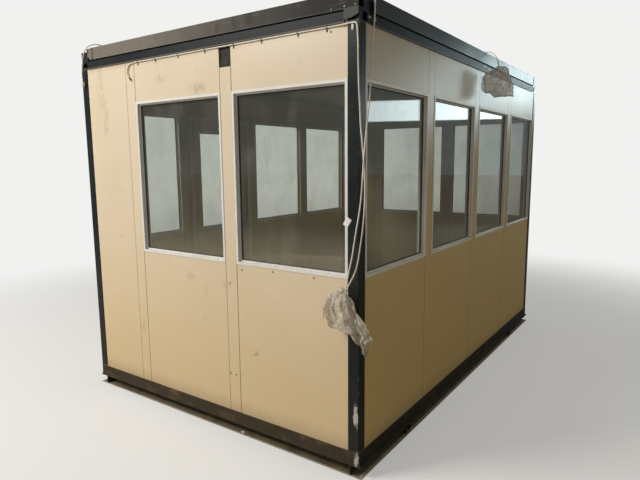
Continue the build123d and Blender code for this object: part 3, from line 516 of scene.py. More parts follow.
CLIP = shaded("clip_plastic", (0.36, 0.325, 0.27), (0.22, 0.19, 0.15), 40, 0.45)
# Dark tab steel, also standing in as painted shadow under the cable's clips.
TAB = shaded("clip_tab_steel_and_shadow", (0.060, 0.048, 0.036), (0.030, 0.024, 0.018), 60, 0.6)
PAPER = shaded("bare_tag_paper", (0.78, 0.77, 0.74), (0.66, 0.64, 0.59), 40, 0.6)
FILM = clear_film()
GLASS = window_glass()

FINISHES = {
    "panel_cream": CREAM, "frame_steel": ANTHRACITE, "fascia_steel": EDGE_PROFILE, "skid_steel": SKID,
    "roof_sheet": ROOF, "ceiling_panel": CEILING, "floor_covering": FLOOR, "window_aluminium": WHITE,
    "glass": GLASS, "fittings": STEEL, "cable_pvc": SHEATH, "connector_plastic": PALE_PLASTIC, "film": FILM,
}
for subpart in frame["record"]["subparts"]:
    node = frame["nodes"][subpart["node"]]
    node.data.materials.clear()
    node.data.materials.append(FINISHES[subpart["material_slot"]])
frame["nodes"]["pillar_cover_plate"].data.materials[0] = MOTTLED
frame["nodes"]["cable_clips"].data.materials[0] = CLIP
for name in ("end_roof_strips", "side_roof_strips"):
    frame["nodes"][name].data.materials[0] = STRIP_PAINT


# Cords: the routes' points, metres

CLIPPED_Z = STRIP_Z - 0.009
POST_RUN_Y = -DEPTH / 2 - CORD / 2 - 0.0003
CORNER_ROUTE = (
    (1.130, POST_RUN_Y, CLIPPED_Z), (1.172, POST_RUN_Y - 0.002, CLIPPED_Z + 0.001), (1.211, -1.838, 2.469),
    (1.217, -1.843, 2.425), (1.222, -1.845, 2.374), (1.222, -1.844, 2.294), (1.224, -1.844, 2.212),
    (1.226, -1.842, 2.130), (1.230, -1.840, 2.050), (1.232, -1.837, 1.963), (1.238, -1.833, 1.895),
    (1.242, -1.829, 1.827), (1.248, -1.826, 1.760), (1.250, -1.824, 1.697), (1.252, -1.825, 1.633),
    (1.251, -1.824, 1.562), (1.248, -1.827, 1.492), (1.242, -1.831, 1.415), (1.233, -1.837, 1.339),
    (1.222, -1.845, 1.243), (1.207, -1.856, 1.183), (1.187, -1.868, 1.139), (1.174, -1.877, 1.110),
)
ROOF_ROUTE = (
    (1.096, -1.640, 2.592), (1.097, -1.641, 2.622), (1.112, -1.650, 2.652), (1.150, -1.672, 2.668),
    (1.196, -1.694, 2.667), (1.234, -1.712, 2.646), (1.250, -1.722, 2.605), (1.252, -1.728, 2.550),
    (1.252, -1.734, 2.480), (1.251, -1.751, 2.387), (1.253, -1.762, 2.298), (1.254, -1.770, 2.209),
    (1.254, -1.780, 2.125), (1.257, -1.800, 2.034), (1.260, -1.822, 1.960), (1.259, -1.832, 1.896),
    (1.255, -1.838, 1.827), (1.251, -1.842, 1.749), (1.248, -1.846, 1.665), (1.243, -1.849, 1.581),
    (1.234, -1.855, 1.500), (1.222, -1.863, 1.419), (1.213, -1.869, 1.350), (1.206, -1.876, 1.282),
    (1.194, -1.883, 1.220), (1.184, -1.887, 1.165), (1.175, -1.888, 1.113),
)
SIDE_ROUTE = (
    (1.110, 0.236, 2.592), (1.111, 0.236, 2.614), (1.125, 0.235, 2.636), (1.155, 0.233, 2.648),
    (1.192, 0.229, 2.650), (1.232, 0.220, 2.643), (1.268, 0.202, 2.621), (1.298, 0.176, 2.586),
    (1.318, 0.148, 2.547), (1.330, 0.128, 2.5088),
)
LEFT_ROUTE = (
    (-1.010, -1.750, 2.592), (-1.011, -1.751, 2.616), (-1.020, -1.764, 2.640), (-1.044, -1.788, 2.654),
    (-1.076, -1.818, 2.652), (-1.104, -1.845, 2.634), (-1.126, -1.857, 2.598), (-1.148, -1.855, 2.556),
    (-1.166, -1.852, 2.512), (-1.180, -1.850, 2.468), (-1.188, -1.847, 2.424), (-1.184, -1.845, 2.386),
)


def smooth_tube(name, route, diameter, finish, closed=False):
    """A round tube on one smooth line through the route's points."""
    data = bpy.data.curves.new(name, "CURVE")
    data.dimensions = "3D"
    data.bevel_depth = diameter / 2
    data.bevel_resolution = 4
    data.resolution_u = 8
    data.use_fill_caps = True
    spline = data.splines.new("NURBS")
    spline.points.add(len(route) - 1)
    for point, place in zip(spline.points, route):
        point.co = (*place, 1)
    spline.order_u = 3
    if closed:
        spline.use_cyclic_u = True
    else:
        spline.use_endpoint_u = True
    data.materials.append(finish)
    made = bpy.data.objects.new(name, data)
    bpy.context.scene.collection.objects.link(made)
    return made


# New pieces: how each is started, worked on and copied


def begin(name, shape, finish, **settings):
    """A primitive as the only selected piece, all of it selected in edit mode."""
    bpy.ops.object.select_all(action="DESELECT")
    getattr(bpy.ops.mesh, f"primitive_{shape}_add")(**settings)
    piece = bpy.context.active_object
    piece.name = name
    piece.data.name = name
    bpy.ops.object.mode_set(mode="EDIT")
    bpy.ops.mesh.select_mode(type="FACE")
    bpy.ops.mesh.select_all(action="SELECT")
    if finish:
        piece.data.materials.append(finish)
    return piece


def pick(piece, test, kind="faces"):
    """Selects the faces, or edges, whose middle passes the test; faces are also given their normal."""
    bpy.ops.mesh.select_mode(type="FACE" if kind == "faces" else "EDGE")
    bpy.ops.mesh.select_all(action="DESELECT")
    mesh = bmesh.from_edit_mesh(piece.data)
    mesh.normal_update()
    if kind == "faces":
        for face in mesh.faces:
            face.select_set(bool(test(face.calc_center_median(), face.normal)))
    else:
        for edge in mesh.edges:
            ends = [vert.co for vert in edge.verts]
            edge.select_set(bool(test((ends[0] + ends[1]) / 2, ends[1] - ends[0])))
    bmesh.update_edit_mesh(piece.data)


def extrude(move):
    bpy.ops.mesh.extrude_region_move(TRANSFORM_OT_translate={"value": move})


def resize(value, centre=(0, 0, 0)):
    bpy.ops.transform.resize(value=value, center_override=centre)


def done(piece, angle=35):
    """Ends the edit with outward normals and smooth shading that keeps sharp edges."""
    bpy.ops.mesh.select_all(action="SELECT")
    bpy.ops.mesh.normals_make_consistent(inside=False)
    bpy.ops.object.mode_set(mode="OBJECT")
    bpy.ops.object.transform_apply(location=True, rotation=True, scale=True)
    bpy.ops.object.shade_smooth_by_angle(angle=math.radians(angle))
    return piece


def modify(piece, kind, **settings):
    """Adds a modifier and applies it."""
    bpy.ops.object.select_all(action="DESELECT")
    piece.select_set(True)
    bpy.context.view_layer.objects.active = piece
    modifier = piece.modifiers.new(kind.lower(), kind)
    for key, value in settings.items():
        setattr(modifier, key, value)
    bpy.ops.object.modifier_apply(modifier=modifier.name)


def set_at(piece, places, name):
    """Copies the piece to each place, joined under the name; the first one goes away."""
    bpy.ops.object.select_all(action="DESELECT")
    copies = []
    for index, place in enumerate(places):
        copy = bpy.data.objects.new(f"{name}_{index}", piece.data.copy())
        copy.data.transform(place)
        if place.determinant() < 0:
            copy.data.flip_normals()
        bpy.context.scene.collection.objects.link(copy)
        copy.select_set(True)
        copies.append(copy)
    bpy.data.objects.remove(piece)
    bpy.context.view_layer.objects.active = copies[0]
    if len(copies) > 1:
        bpy.ops.object.join()
    copies[0].name = name
    copies[0].data.name = name
    return copies[0]


def fix(piece, body="cabin"):
    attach(piece, body)
    return piece


# Places on the walls: a wall's own frame has x to the right, y inwards and z up, seen from outside

FRONT = Matrix.Translation((0, -DEPTH / 2, 0))
RIGHT = Matrix.Translation((WIDTH / 2, 0, 0)) @ Matrix.Rotation(math.pi / 2, 4, "Z")
REAR = Matrix.Translation((0, DEPTH / 2, 0)) @ Matrix.Rotation(math.pi, 4, "Z")
LEFT = Matrix.Translation((-WIDTH / 2, 0, 0)) @ Matrix.Rotation(-math.pi / 2, 4, "Z")
UPRIGHT = Matrix.Rotation(math.pi / 2, 4, "X")


def at(x, y, z):
    return Matrix.Translation((x, y, z))


END_WINDOWS = (-0.594 + END_BAY / 2, 0.325 + END_BAY / 2)
SIDE_WINDOWS = tuple(POST - DEPTH / 2 + SIDE_BAY / 2 + bay * (SIDE_BAY + PILLAR) for bay in range(4))


def window_gaskets():
    """A rubber ring between the bead and each side of every pane, modelled once for each size."""
    for name, width, places in (
        (
            "end_window_gaskets", END_BAY,
            [(FRONT, x) for x in END_WINDOWS] + [(REAR, -x) for x in END_WINDOWS],
        ),
        (
            "side_window_gaskets", SIDE_BAY,
            [(RIGHT, x) for x in SIDE_WINDOWS] + [(LEFT, SIDE_WINDOWS[bay]) for bay in (0, 1, 3)],
        ),
    ):
        ring = begin(name, "plane", RUBBER, size=1)
        resize((width - 2 * BEAD_EDGE, HEAD_Z - SILL_Z - 2 * BEAD_EDGE, 1))
        bpy.ops.mesh.inset(thickness=0.0045)
        bpy.ops.mesh.delete(type="FACE")
        bpy.ops.mesh.select_all(action="SELECT")
        extrude((0, 0, 0.0035))
        bpy.ops.mesh.select_all(action="SELECT")
        bpy.ops.mesh.bevel(offset=0.0009, segments=2, affect="EDGES")
        done(ring)
        middle = (SILL_Z + HEAD_Z) / 2
        back = Matrix.Rotation(math.pi, 4, "Z")
        outer = [wall @ at(x, GLASS_FRONT, middle) @ UPRIGHT for wall, x in places]
        inner = [wall @ at(x, GLASS_BACK, middle) @ back @ UPRIGHT for wall, x in places]
        fix(set_at(ring, outer + inner, name))


def screw_head(name, finish, radius):
    """A low pan head with a six-sided recess, its foot on z = 0."""
    head = begin(
        name, "cylinder", finish, vertices=18, radius=radius, depth=radius * 0.7,
        location=(0, 0, radius * 0.35),
    )
    pick(head, lambda middle, normal: normal.z > 0.9)
    bpy.ops.mesh.inset(thickness=radius * 0.22)
    bpy.ops.transform.translate(value=(0, 0, radius * 0.16))
    bpy.ops.mesh.inset(thickness=radius * 0.32)
    extrude((0, 0, -radius * 0.3))
    return done(head)


def scatter_screws():
    wall_screws = screw_head("wall_screws", RUSTY, 0.0042)
    spots = (
        (0.261, 1.017), (0.243, 0.410), (0.288, 0.406), (0.368, 1.113), (0.620, 1.129), (0.922, 1.128),
        (1.046, 2.445),
    )
    places = [FRONT @ at(x, PANEL_FACE, z) @ UPRIGHT for x, z in spots]
    places.append(FRONT @ at(1.179, 0, 2.058) @ UPRIGHT)
    fix(set_at(wall_screws, places, "wall_screws"))
    rivets = screw_head("edge_rivets", RIVET, 0.0046)
    spots = (
        (1.140, 0.011, 2.552), (1.205, 0.011, 2.552), (1.058, 0.008, 2.549),
        (-1.06, 0.011, 2.552), (-1.06, 0.011, 2.61),
    )
    places = [wall @ at(x, -out, z) @ UPRIGHT for wall in (FRONT, REAR) for x, out, z in spots]
    fix(set_at(rivets, places, "edge_rivets"))
    roof_screws = screw_head("roof_screws", STEEL, 0.006)
    ribs = [(index + 0.5) * 0.259 for index in range(-4, 4)]
    rows = [-1.65 + 0.55 * index for index in range(7)]
    crest = FASCIA_Z + 0.003 + 0.012 + 0.022
    fix(set_at(roof_screws, [at(x, y, crest) for x in ribs for y in rows], "roof_screws"))


def bare_tag():
    """A blank tag stuck askew on the second front window's frame, its free corners curling up."""
    tag = begin("bare_tag", "plane", PAPER, size=1)
    resize((0.034, 0.050, 1))
    bpy.ops.mesh.subdivide(number_cuts=7)
    bpy.ops.mesh.select_all(action="SELECT")
    bpy.ops.transform.translate(value=(0.03, 0, 0))
    done(tag, 60)
    modify(tag, "SIMPLE_DEFORM", deform_method="BEND", angle=math.radians(38), deform_axis="X")
    modify(tag, "SOLIDIFY", thickness=0.0008, offset=1)
    modify(tag, "BEVEL", width=0.0002, segments=1)
    low = min(vert.co.z for vert in tag.data.vertices)
    centre = sum((vert.co for vert in tag.data.vertices), Vector()) / len(tag.data.vertices)
    level = at(-centre.x, -centre.y, -low)
    turn = Matrix.Rotation(math.radians(-32), 4, "Z")
    fix(set_at(tag, [FRONT @ at(1.147, -0.0003, 1.459) @ UPRIGHT @ turn @ level], "bare_tag"))


def post_clip():
    """A small plastic clip that holds the cable to the near post."""
    clip = begin("post_clip", "cube", PALE_PLASTIC, size=1)
    resize((0.013, 0.004, 0.026))
    pick(clip, lambda middle, normal: normal.z > 0.9)
    extrude((0, 0, 0.003))
    extrude((0, -0.004, 0.003))
    bpy.ops.mesh.select_all(action="SELECT")
    bpy.ops.mesh.bevel(offset=0.0011, segments=2, affect="EDGES")
    done(clip)
    fix(set_at(clip, [FRONT @ at(1.181, -0.0021, 2.448)], "post_clip"))
    screw = screw_head("post_clip_screw", STEEL, 0.0035)
    fix(set_at(screw, [FRONT @ at(1.181, -0.0041, 2.444) @ UPRIGHT], "post_clip_screw"))


def clip_tabs():
    """A dark nailed tab under each of the clipped cable's clips; its darkness also stands in for the clip's
    shadow, as painted shade.
    """
    tab = begin("clip_tabs", "cube", TAB, size=1)
    resize((0.008, 0.0014, 0.012))
    pick(tab, lambda middle, normal: normal.z < -0.9)
    extrude((0, 0, -0.005))
    resize((0.6, 1, 1))
    pick(tab, lambda middle, normal: normal.y < -0.9 and middle.z > -0.006)
    bpy.ops.mesh.inset(thickness=0.0024)
    extrude((0, -0.0012, 0))
    bpy.ops.mesh.select_all(action="SELECT")
    bpy.ops.mesh.bevel(offset=0.0003, segments=1, affect="EDGES")
    done(tab)
    stations = (-0.545, -0.360, -0.134, 0.112, 0.356, 0.573, 0.834, 1.022)
    places = [FRONT @ at(x, PANEL_FACE - 0.0008, CLIPPED_Z - 0.0125) for x in stations]
    fix(set_at(tab, places, "clip_tabs"))


def fascia_end_caps():
    """Pressed caps that close the open ends of the roof's edge profiles beside the corner blocks."""
    cap = begin("fascia_end_caps", "cube", ANTHRACITE, size=1)
    resize((0.045, 0.002, 0.075))
    pick(cap, lambda middle, normal: normal.y < -0.9)
    bpy.ops.mesh.inset(thickness=0.007)
    extrude((0, -0.0015, 0))
    resize((0.94, 1, 0.96))
    done(cap)
    modify(cap, "BEVEL", width=0.0004, segments=1)
    middle = (FASCIA_Z + TOP_Z) / 2
    places = []
    for wall, half, near, far in (
        (RIGHT, DEPTH / 2, 0.132, 0.120), (LEFT, DEPTH / 2, 0.132, 0.120),
        (FRONT, WIDTH / 2, 0.136, None), (REAR, WIDTH / 2, 0.136, None),
    ):
        quarter = Matrix.Rotation(-math.pi / 2, 4, "Z")
        places.append(wall @ at(near - half + 0.0035, 0.0175, middle) @ quarter)
        if far:
            places.append(wall @ at(half - far - 0.0035, 0.0175, middle) @ quarter.inverted())
    fix(set_at(cap, places, "fascia_end_caps"))


def door_fittings():
    """Key cylinders and screws on the handle plates, and screws in both halves of the hinges."""
    low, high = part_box("door_handles")
    across, middle = 0.017 - high.y, (low.z + high.z) / 2
    inside = Matrix.Rotation(math.pi, 4, "Z") @ UPRIGHT
    cylinder = begin(
        "key_cylinders", "cylinder", STEEL, vertices=24, radius=0.0085, depth=0.003,
        location=(0, 0, 0.0015),
    )
    pick(cylinder, lambda centre, normal: normal.z > 0.9)
    bpy.ops.mesh.inset(thickness=0.0016)
    bpy.ops.transform.translate(value=(0, 0, 0.0008))
    bpy.ops.mesh.inset(thickness=0.0022)
    resize((0.25, 1, 1))
    extrude((0, 0, -0.0016))
    done(cylinder)
    level = middle - 0.058
    places = [LEFT @ at(across, -0.003, level) @ UPRIGHT, LEFT @ at(across, 0.054, level) @ inside]
    fix(set_at(cylinder, places, "key_cylinders"), "door")
    plate_screws = screw_head("handle_screws", STEEL, 0.0036)
    places = [LEFT @ at(across, -0.003, middle + z) @ UPRIGHT for z in (-0.080, 0.080)]
    places += [LEFT @ at(across, 0.054, middle + z) @ inside for z in (-0.080, 0.080)]
    fix(set_at(plate_screws, places, "handle_screws"), "door")
    low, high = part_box("door_leaf_hinges")
    across, foot = -0.006 - low.y, low.z
    levels = [foot + 0.020 + (high.z - low.z - 0.040) / 2 * index for index in range(3)]
    rows = [(x, z + up) for x in (-0.019, -0.033) for z in levels for up in (-0.010, 0.010)]
    places = [LEFT @ at(across + x, 0, z) @ UPRIGHT for x, z in rows]
    leaf_screw = screw_head("leaf_hinge_screws", STEEL, 0.0032)
    fix(set_at(leaf_screw, places, "leaf_hinge_screws"), "door")
    places = [
        LEFT @ at(across + 0.0175, -0.002, z - 0.0404 + up) @ UPRIGHT
        for z in levels for up in (-0.010, 0.010)
    ]
    fix(set_at(screw_head("frame_hinge_screws", STEEL, 0.0032), places, "frame_hinge_screws"))


def cable_end_sleeve():
    """A dark shrink sleeve on the clipped cable's loose end."""
    sleeve = begin("cable_end_sleeve", "cylinder", RUBBER, vertices=20, radius=0.0049, depth=0.024)
    pick(sleeve, lambda middle, normal: normal.z > 0.9)
    extrude((0, 0, 0.004))
    resize((0.6, 0.6, 1), (0, 0, 0.016))
    bpy.ops.mesh.inset(thickness=0.001)
    pick(sleeve, lambda middle, normal: normal.z < -0.9)
    bpy.ops.mesh.inset(thickness=0.0006)
    done(sleeve)
    modify(sleeve, "BEVEL", width=0.0006, segments=2)
    aim = Vector((0.707, 0.03, -0.707)).to_track_quat("Z", "Y").to_matrix().to_4x4()
    place = at(-0.6325, -1.8318, 2.3625) @ aim
    fix(set_at(sleeve, [place], "cable_end_sleeve"))


def cord_reliefs():
    """A ribbed cone that grips each cord where it leaves its gland."""
    relief = begin("cord_reliefs", "cylinder", PALE_PLASTIC, vertices=24, radius=0.0079, depth=0.006)
    for rise, wide in (
        (0.002, 0.86), (0.004, 1.0), (0.002, 0.86), (0.004, 1.0), (0.002, 0.84), (0.006, 0.92),
    ):
        pick(relief, lambda middle, normal: normal.z > 0.9)
        extrude((0, 0, rise))
        resize((wide, wide, 1))
    done(relief, 40)
    modify(relief, "BEVEL", width=0.0005, segments=1, limit_method="ANGLE")
    places = []
    for route in (ROOF_ROUTE, SIDE_ROUTE, LEFT_ROUTE):
        aim = (Vector(route[1]) - Vector(route[0])).to_track_quat("Z", "Y").to_matrix().to_4x4()
        places.append(at(*route[0]) @ aim)
    fix(set_at(relief, places, "cord_reliefs"))


def connector_shell():
    """The left cord's plug: a ribbed shell with a collar above and a two-way socket below."""
    shell = begin("connector_shell", "cube", PALE_PLASTIC, size=1)
    resize((0.022, 0.016, 0.024))
    pick(shell, lambda middle, step: abs(step.z) > 0.01, "edges")
    bpy.ops.mesh.bevel(offset=0.003, segments=3, affect="EDGES")
    pick(shell, lambda middle, normal: normal.z > 0.9)
    bpy.ops.mesh.inset(thickness=0.0028)
    extrude((0, 0, 0.004))
    bpy.ops.mesh.inset(thickness=0.0012)
    extrude((0, 0, 0.002))
    pick(shell, lambda middle, normal: normal.z < -0.9)
    bpy.ops.mesh.inset(thickness=0.0022)
    extrude((0, 0, 0.007))
    pick(shell, lambda middle, normal: abs(normal.y) > 0.9 and abs(middle.z) < 0.005)
    bpy.ops.mesh.inset(thickness=0.003)
    extrude((0, 0, 0))
    resize((1, 1.12, 1))
    done(shell)
    modify(shell, "BEVEL", width=0.0005, segments=2, limit_method="ANGLE")
    return fix(set_at(shell, [at(-1.184, -1.845, 2.368)], "connector_shell"))


def knot_of_cord():
    """The overhand knot in which the two hanging cords end."""
    turns = []
    for step in range(18):
        t = 2 * math.pi * step / 18
        turns.append((
            0.0041 * (math.sin(t) + 1.7 * math.sin(2 * t)), 0.0041 * (math.cos(t) - 1.7 * math.cos(2 * t)),
            -0.0062 * math.sin(3 * t),
        ))
    knot = smooth_tube("knot_of_cord", turns, CORD, SHEATH, closed=True)
    bpy.ops.object.select_all(action="DESELECT")
    knot.select_set(True)
    bpy.context.view_layer.objects.active = knot
    bpy.ops.object.convert(target="MESH")
    knot = bpy.context.active_object
    bpy.ops.object.shade_smooth()
    tilt = Matrix.Rotation(math.radians(62), 4, "X") @ Matrix.Rotation(math.radians(20), 4, "Y")
    return fix(set_at(knot, [at(1.166, -1.885, 1.098) @ tilt], "knot_of_cord"))


# Film bags: middle of each level, its half width and half depth, from the tie down
FRONT_BAG = (
    (1.164, -1.886, 1.0827, 0.014, 0.011), (1.131, -1.891, 1.050, 0.079, 0.027),
    (1.132, -1.893, 1.000, 0.097, 0.035), (1.159, -1.893, 0.940, 0.117, 0.037),
    (1.193, -1.892, 0.890, 0.113, 0.036), (1.243, -1.886, 0.850, 0.081, 0.031),
    (1.278, -1.878, 0.812, 0.046, 0.023), (1.283, -1.875, 0.770, 0.028, 0.016),
    (1.284, -1.874, 0.739, 0.011, 0.008),
)
SIDE_BAG = (
    (1.330, 0.127, 2.508, 0.012, 0.012), (1.338, 0.127, 2.485, 0.046, 0.038),
    (1.319, 0.122, 2.460, 0.110, 0.042), (1.319, 0.122, 2.428, 0.140, 0.043),
    (1.326, 0.124, 2.376, 0.158, 0.043), (1.329, 0.125, 2.324, 0.154, 0.043),
    (1.336, 0.127, 2.285, 0.138, 0.039), (1.348, 0.131, 2.268, 0.106, 0.030),
)
SIDE_BAG_TURN = math.radians(62)


def lofted_shell(name, sections, turn, around, between):
    """Rings bridged into one closed shell."""
    bpy.ops.object.select_all(action="DESELECT")
    rings = []
    for x, y, z, wide, deep in sections:
        bpy.ops.mesh.primitive_circle_add(vertices=around, radius=1)
        ring = bpy.context.active_object
        ring.data.transform(at(x, y, z) @ Matrix.Rotation(turn, 4, "Z") @ Matrix.Diagonal((wide, deep, 1, 1)))
        rings.append(ring)
    for ring in rings:
        ring.select_set(True)
    bpy.context.view_layer.objects.active = rings[0]
    bpy.ops.object.join()
    shell = bpy.context.active_object
    shell.name = name
    shell.data.name = name
    bpy.ops.object.mode_set(mode="EDIT")
    bpy.ops.mesh.select_mode(type="EDGE")
    bpy.ops.mesh.select_all(action="SELECT")
    bpy.ops.mesh.bridge_edge_loops(number_cuts=between, interpolation="LINEAR")
    for level in (sections[0][2], sections[-1][2]):
        pick(shell, lambda middle, step: abs(middle.z - level) < 1e-5 and abs(step.z) < 1e-5, "edges")
        bpy.ops.mesh.fill_grid(span=around // 4)
    return done(shell, 180)


def gather(shell, sections, turn, hem, folds):
    """Folds that run down from the tie, and a ragged hem."""
    top, low = sections[0][2], sections[-1][2]
    back = Matrix.Rotation(-turn, 3, "Z")
    for vert in shell.data.vertices:
        above = max((s for s in sections if s[2] >= vert.co.z - 1e-6), key=lambda s: -s[2])
        below = min((s for s in sections if s[2] <= vert.co.z + 1e-6), key=lambda s: -s[2])
        share = (above[2] - vert.co.z) / max(above[2] - below[2], 1e-6)
        middle = Vector((above[0], above[1], 0)).lerp(Vector((below[0], below[1], 0)), share)
        wide = above[3] + (below[3] - above[3]) * share
        deep = above[4] + (below[4] - above[4]) * share
        out = Vector((vert.co.x - middle.x, vert.co.y - middle.y, 0))
        local = back @ out
        angle = math.atan2(local.y / deep, local.x / wide)
        level = (top - vert.co.z) / (top - low)
        fold = 0.12 * math.sin(4 * angle + 2.2 * level) + 0.10 * math.sin(9 * angle - 2 * level + 1)
        fold += 0.035 * math.sin(15 * angle + 4 * level + 2)
        fold = folds * (fold - 0.06)
        fade = min(1, level / 0.12)
        drop = hem * max(0, level - 0.8) / 0.2 * (math.sin(7 * angle + 1) + 0.6 * math.sin(13 * angle))
        vert.co.x = middle.x + out.x * (1 + fade * fold)
        vert.co.y = middle.y + out.y * (1 + fade * fold)
        vert.co.z += drop * min(1, out.length / (0.6 * deep))


TIED_BAND = 0.008  # how far below the tie the film is held fast
LOOSE_HOLD = 0.16  # how firmly the rest keeps to its shape
SLUMP_MOMENTS = 21


def slump(shell, top, growth, cap):
    """Lets the film hang from its tie: it is larger than its shape, so it buckles and sags."""
    held = shell.vertex_groups.new(name="held")
    for vert in shell.data.vertices:
        held.add([vert.index], 1.0 if vert.co.z > top - TIED_BAND else LOOSE_HOLD, "REPLACE")
    before = [vert.co.copy() for vert in shell.data.vertices]
    cloth = shell.modifiers.new("cloth", "CLOTH")
    film = cloth.settings
    film.quality = 6
    film.mass = 0.03
    film.tension_stiffness = 12
    film.compression_stiffness = 12
    film.shear_stiffness = 4
    film.bending_stiffness = 0.01
    film.vertex_group_mass = "held"
    film.pin_stiffness = 0.5
    film.shrink_min = -growth
    film.shrink_max = -growth
    cloth.collision_settings.use_collision = False
    cloth.collision_settings.use_self_collision = False
    for moment in range(1, SLUMP_MOMENTS + 1):
        bpy.context.scene.frame_set(moment)
    bpy.ops.object.select_all(action="DESELECT")
    shell.select_set(True)
    bpy.context.view_layer.objects.active = shell
    bpy.ops.object.modifier_apply(modifier="cloth")
    bpy.context.scene.frame_set(1)
    for vert, old in zip(shell.data.vertices, before):
        move = vert.co - old
        if move.length > cap:
            vert.co = old + move * (cap / move.length)


def front_lobes(bag):
    """Parts the front bag: a round lobe with a flat hem, a deep crease and a narrow tail on its right."""
    crease = ((1.085, 1.185), (1.032, 1.212), (0.975, 1.226), (0.929, 1.243), (0.885, 1.258), (0.80, 1.262))
    for vert in bag.data.vertices:
        x, y, z = vert.co
        for (top, right), (low, left) in zip(crease, crease[1:]):
            if low <= z <= top:
                middle = left + (right - left) * (z - low) / (top - low)
                if y < -1.893:
                    vert.co.y += 0.034 * math.exp(-(((x - middle) / 0.009) ** 2)) * min(1, (1.085 - z) / 0.03)
        if z > 1.0:
            vert.co.z += 0.028 * math.exp(-(((x - 1.098) / 0.034) ** 2)) * min(1, (z - 1.0) / 0.045)
        share = min(1, max(0, (x - 1.205) / 0.05))
        hem = 0.886 + 0.005 * math.sin(95 * x) - share * 0.116
        if z < hem:
            vert.co.z = hem + (z - hem) * (0.12 + 0.25 * share)
        if x > 1.2 and z < 0.86:
            vert.co.x += 0.6 * (1.287 - x) * min(1, (0.86 - z) / 0.09)


def side_shoulder(bag):
    """Lifts the side bag's right shoulder and cuts its hem ragged, with one hanging point."""
    turn = Matrix.Rotation(-SIDE_BAG_TURN, 3, "Z")
    for vert in bag.data.vertices:
        along = (turn @ (vert.co - Vector((1.325, 0.125, 0)))).x
        if vert.co.z > 2.40:
            rise = 0.044 * math.exp(-(((along - 0.070) / 0.050) ** 2)) * min(1, (vert.co.z - 2.40) / 0.05)
            dome = 2.508 - 2.0 * max(0, along - 0.03) ** 2 - 2.6 * max(0, -along - 0.01) ** 2
            vert.co.z = min(vert.co.z + rise, dome)
        wider = 0.014 * min(1, max(0, along) / 0.1)
        vert.co.x += wider * math.cos(SIDE_BAG_TURN)
        vert.co.y += wider * math.sin(SIDE_BAG_TURN)
        hem = 2.308 + 0.006 * math.sin(70 * along) - 0.020 * min(1, max(0, (along + 0.01) / 0.03))
        hem -= 0.034 * math.exp(-(((along + 0.008) / 0.016) ** 2))
        if vert.co.z < hem:
            vert.co.z = hem + (vert.co.z - hem) * 0.15


def crumple(shell, size, depth):
    """Presses uneven ridges into the film."""
    ridges = bpy.data.textures.new(f"{shell.name}_ridges", "MUSGRAVE")
    ridges.musgrave_type = "RIDGED_MULTIFRACTAL"
    ridges.noise_scale = size
    ridges.octaves = 2.5
    ridges.noise_intensity = 0.6
    modify(shell, "DISPLACE", texture=ridges, texture_coords="LOCAL", strength=depth, mid_level=0.5)


def film_bag(name, sections, turn, around, hem, folds, shape, node):
    bag = lofted_shell(name, sections, turn, around, 4)
    bag.data.materials.append(FILM)
    gather(bag, sections, turn, hem, folds)
    slump(bag, sections[0][2], 0.22, 0.009)
    shape(bag)
    crumple(bag, 0.06, 0.005 * folds)
    modify(bag, "SUBSURF", levels=1, render_levels=1)
    crumple(bag, 0.02, 0.0013 * folds)
    modify(bag, "SOLIDIFY", thickness=0.0004, offset=-1)
    bpy.ops.object.shade_smooth_by_angle(angle=math.radians(60))
    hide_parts(node)
    return fix(bag)


def film_ruff():
    """The film's gathered end, folded over beside the knot."""
    ruff = begin("film_ruff", "uv_sphere", FILM, segments=28, ring_count=18, radius=1)
    resize((0.026, 0.013, 0.023))
    pick(ruff, lambda middle, normal: middle.z < -0.012)
    resize((0.55, 0.55, 1), (0.010, 0, -0.02))
    done(ruff, 180)
    crumple(ruff, 0.016, 0.007)
    modify(ruff, "SUBSURF", levels=1, render_levels=1)
    modify(ruff, "SOLIDIFY", thickness=0.0004, offset=-1)
    bpy.ops.object.shade_smooth_by_angle(angle=math.radians(60))
    return fix(set_at(ruff, [at(1.146, -1.890, 1.096)], "film_ruff"))


for maker in (
    window_gaskets, scatter_screws, bare_tag, post_clip, clip_tabs, fascia_end_caps, door_fittings,
    cable_end_sleeve, cord_reliefs,
):
    maker()
plug = connector_shell()
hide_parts("left_connector")
knot = knot_of_cord()
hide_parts("cord_knot")

CORDS = (
    ("corner_cord", CORNER_ROUTE, 1.45, "knot", [knot]),
    ("roof_cord", ROOF_ROUTE, 1.75, "knot", []),
    ("side_cord", SIDE_ROUTE, 0.35, "knot", []),
    ("left_cord", LEFT_ROUTE, 0.43, "connector", [plug]),
)
front_bag = film_bag("hanging_film_bag", FRONT_BAG, 0, 96, 0.006, 1.0, front_lobes, "front_film_bag")
side_bag = film_bag(
    "eaves_film_bag", SIDE_BAG, SIDE_BAG_TURN, 96, 0.012, 0.55, side_shoulder, "side_film_bag"
)
ruff = film_ruff()
for name, route, length, far_end, pieces in CORDS:
    cord = fix(smooth_tube("hanging_" + name, route, CORD, SHEATH))
    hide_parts(name)

# Studio: pale floor, soft light


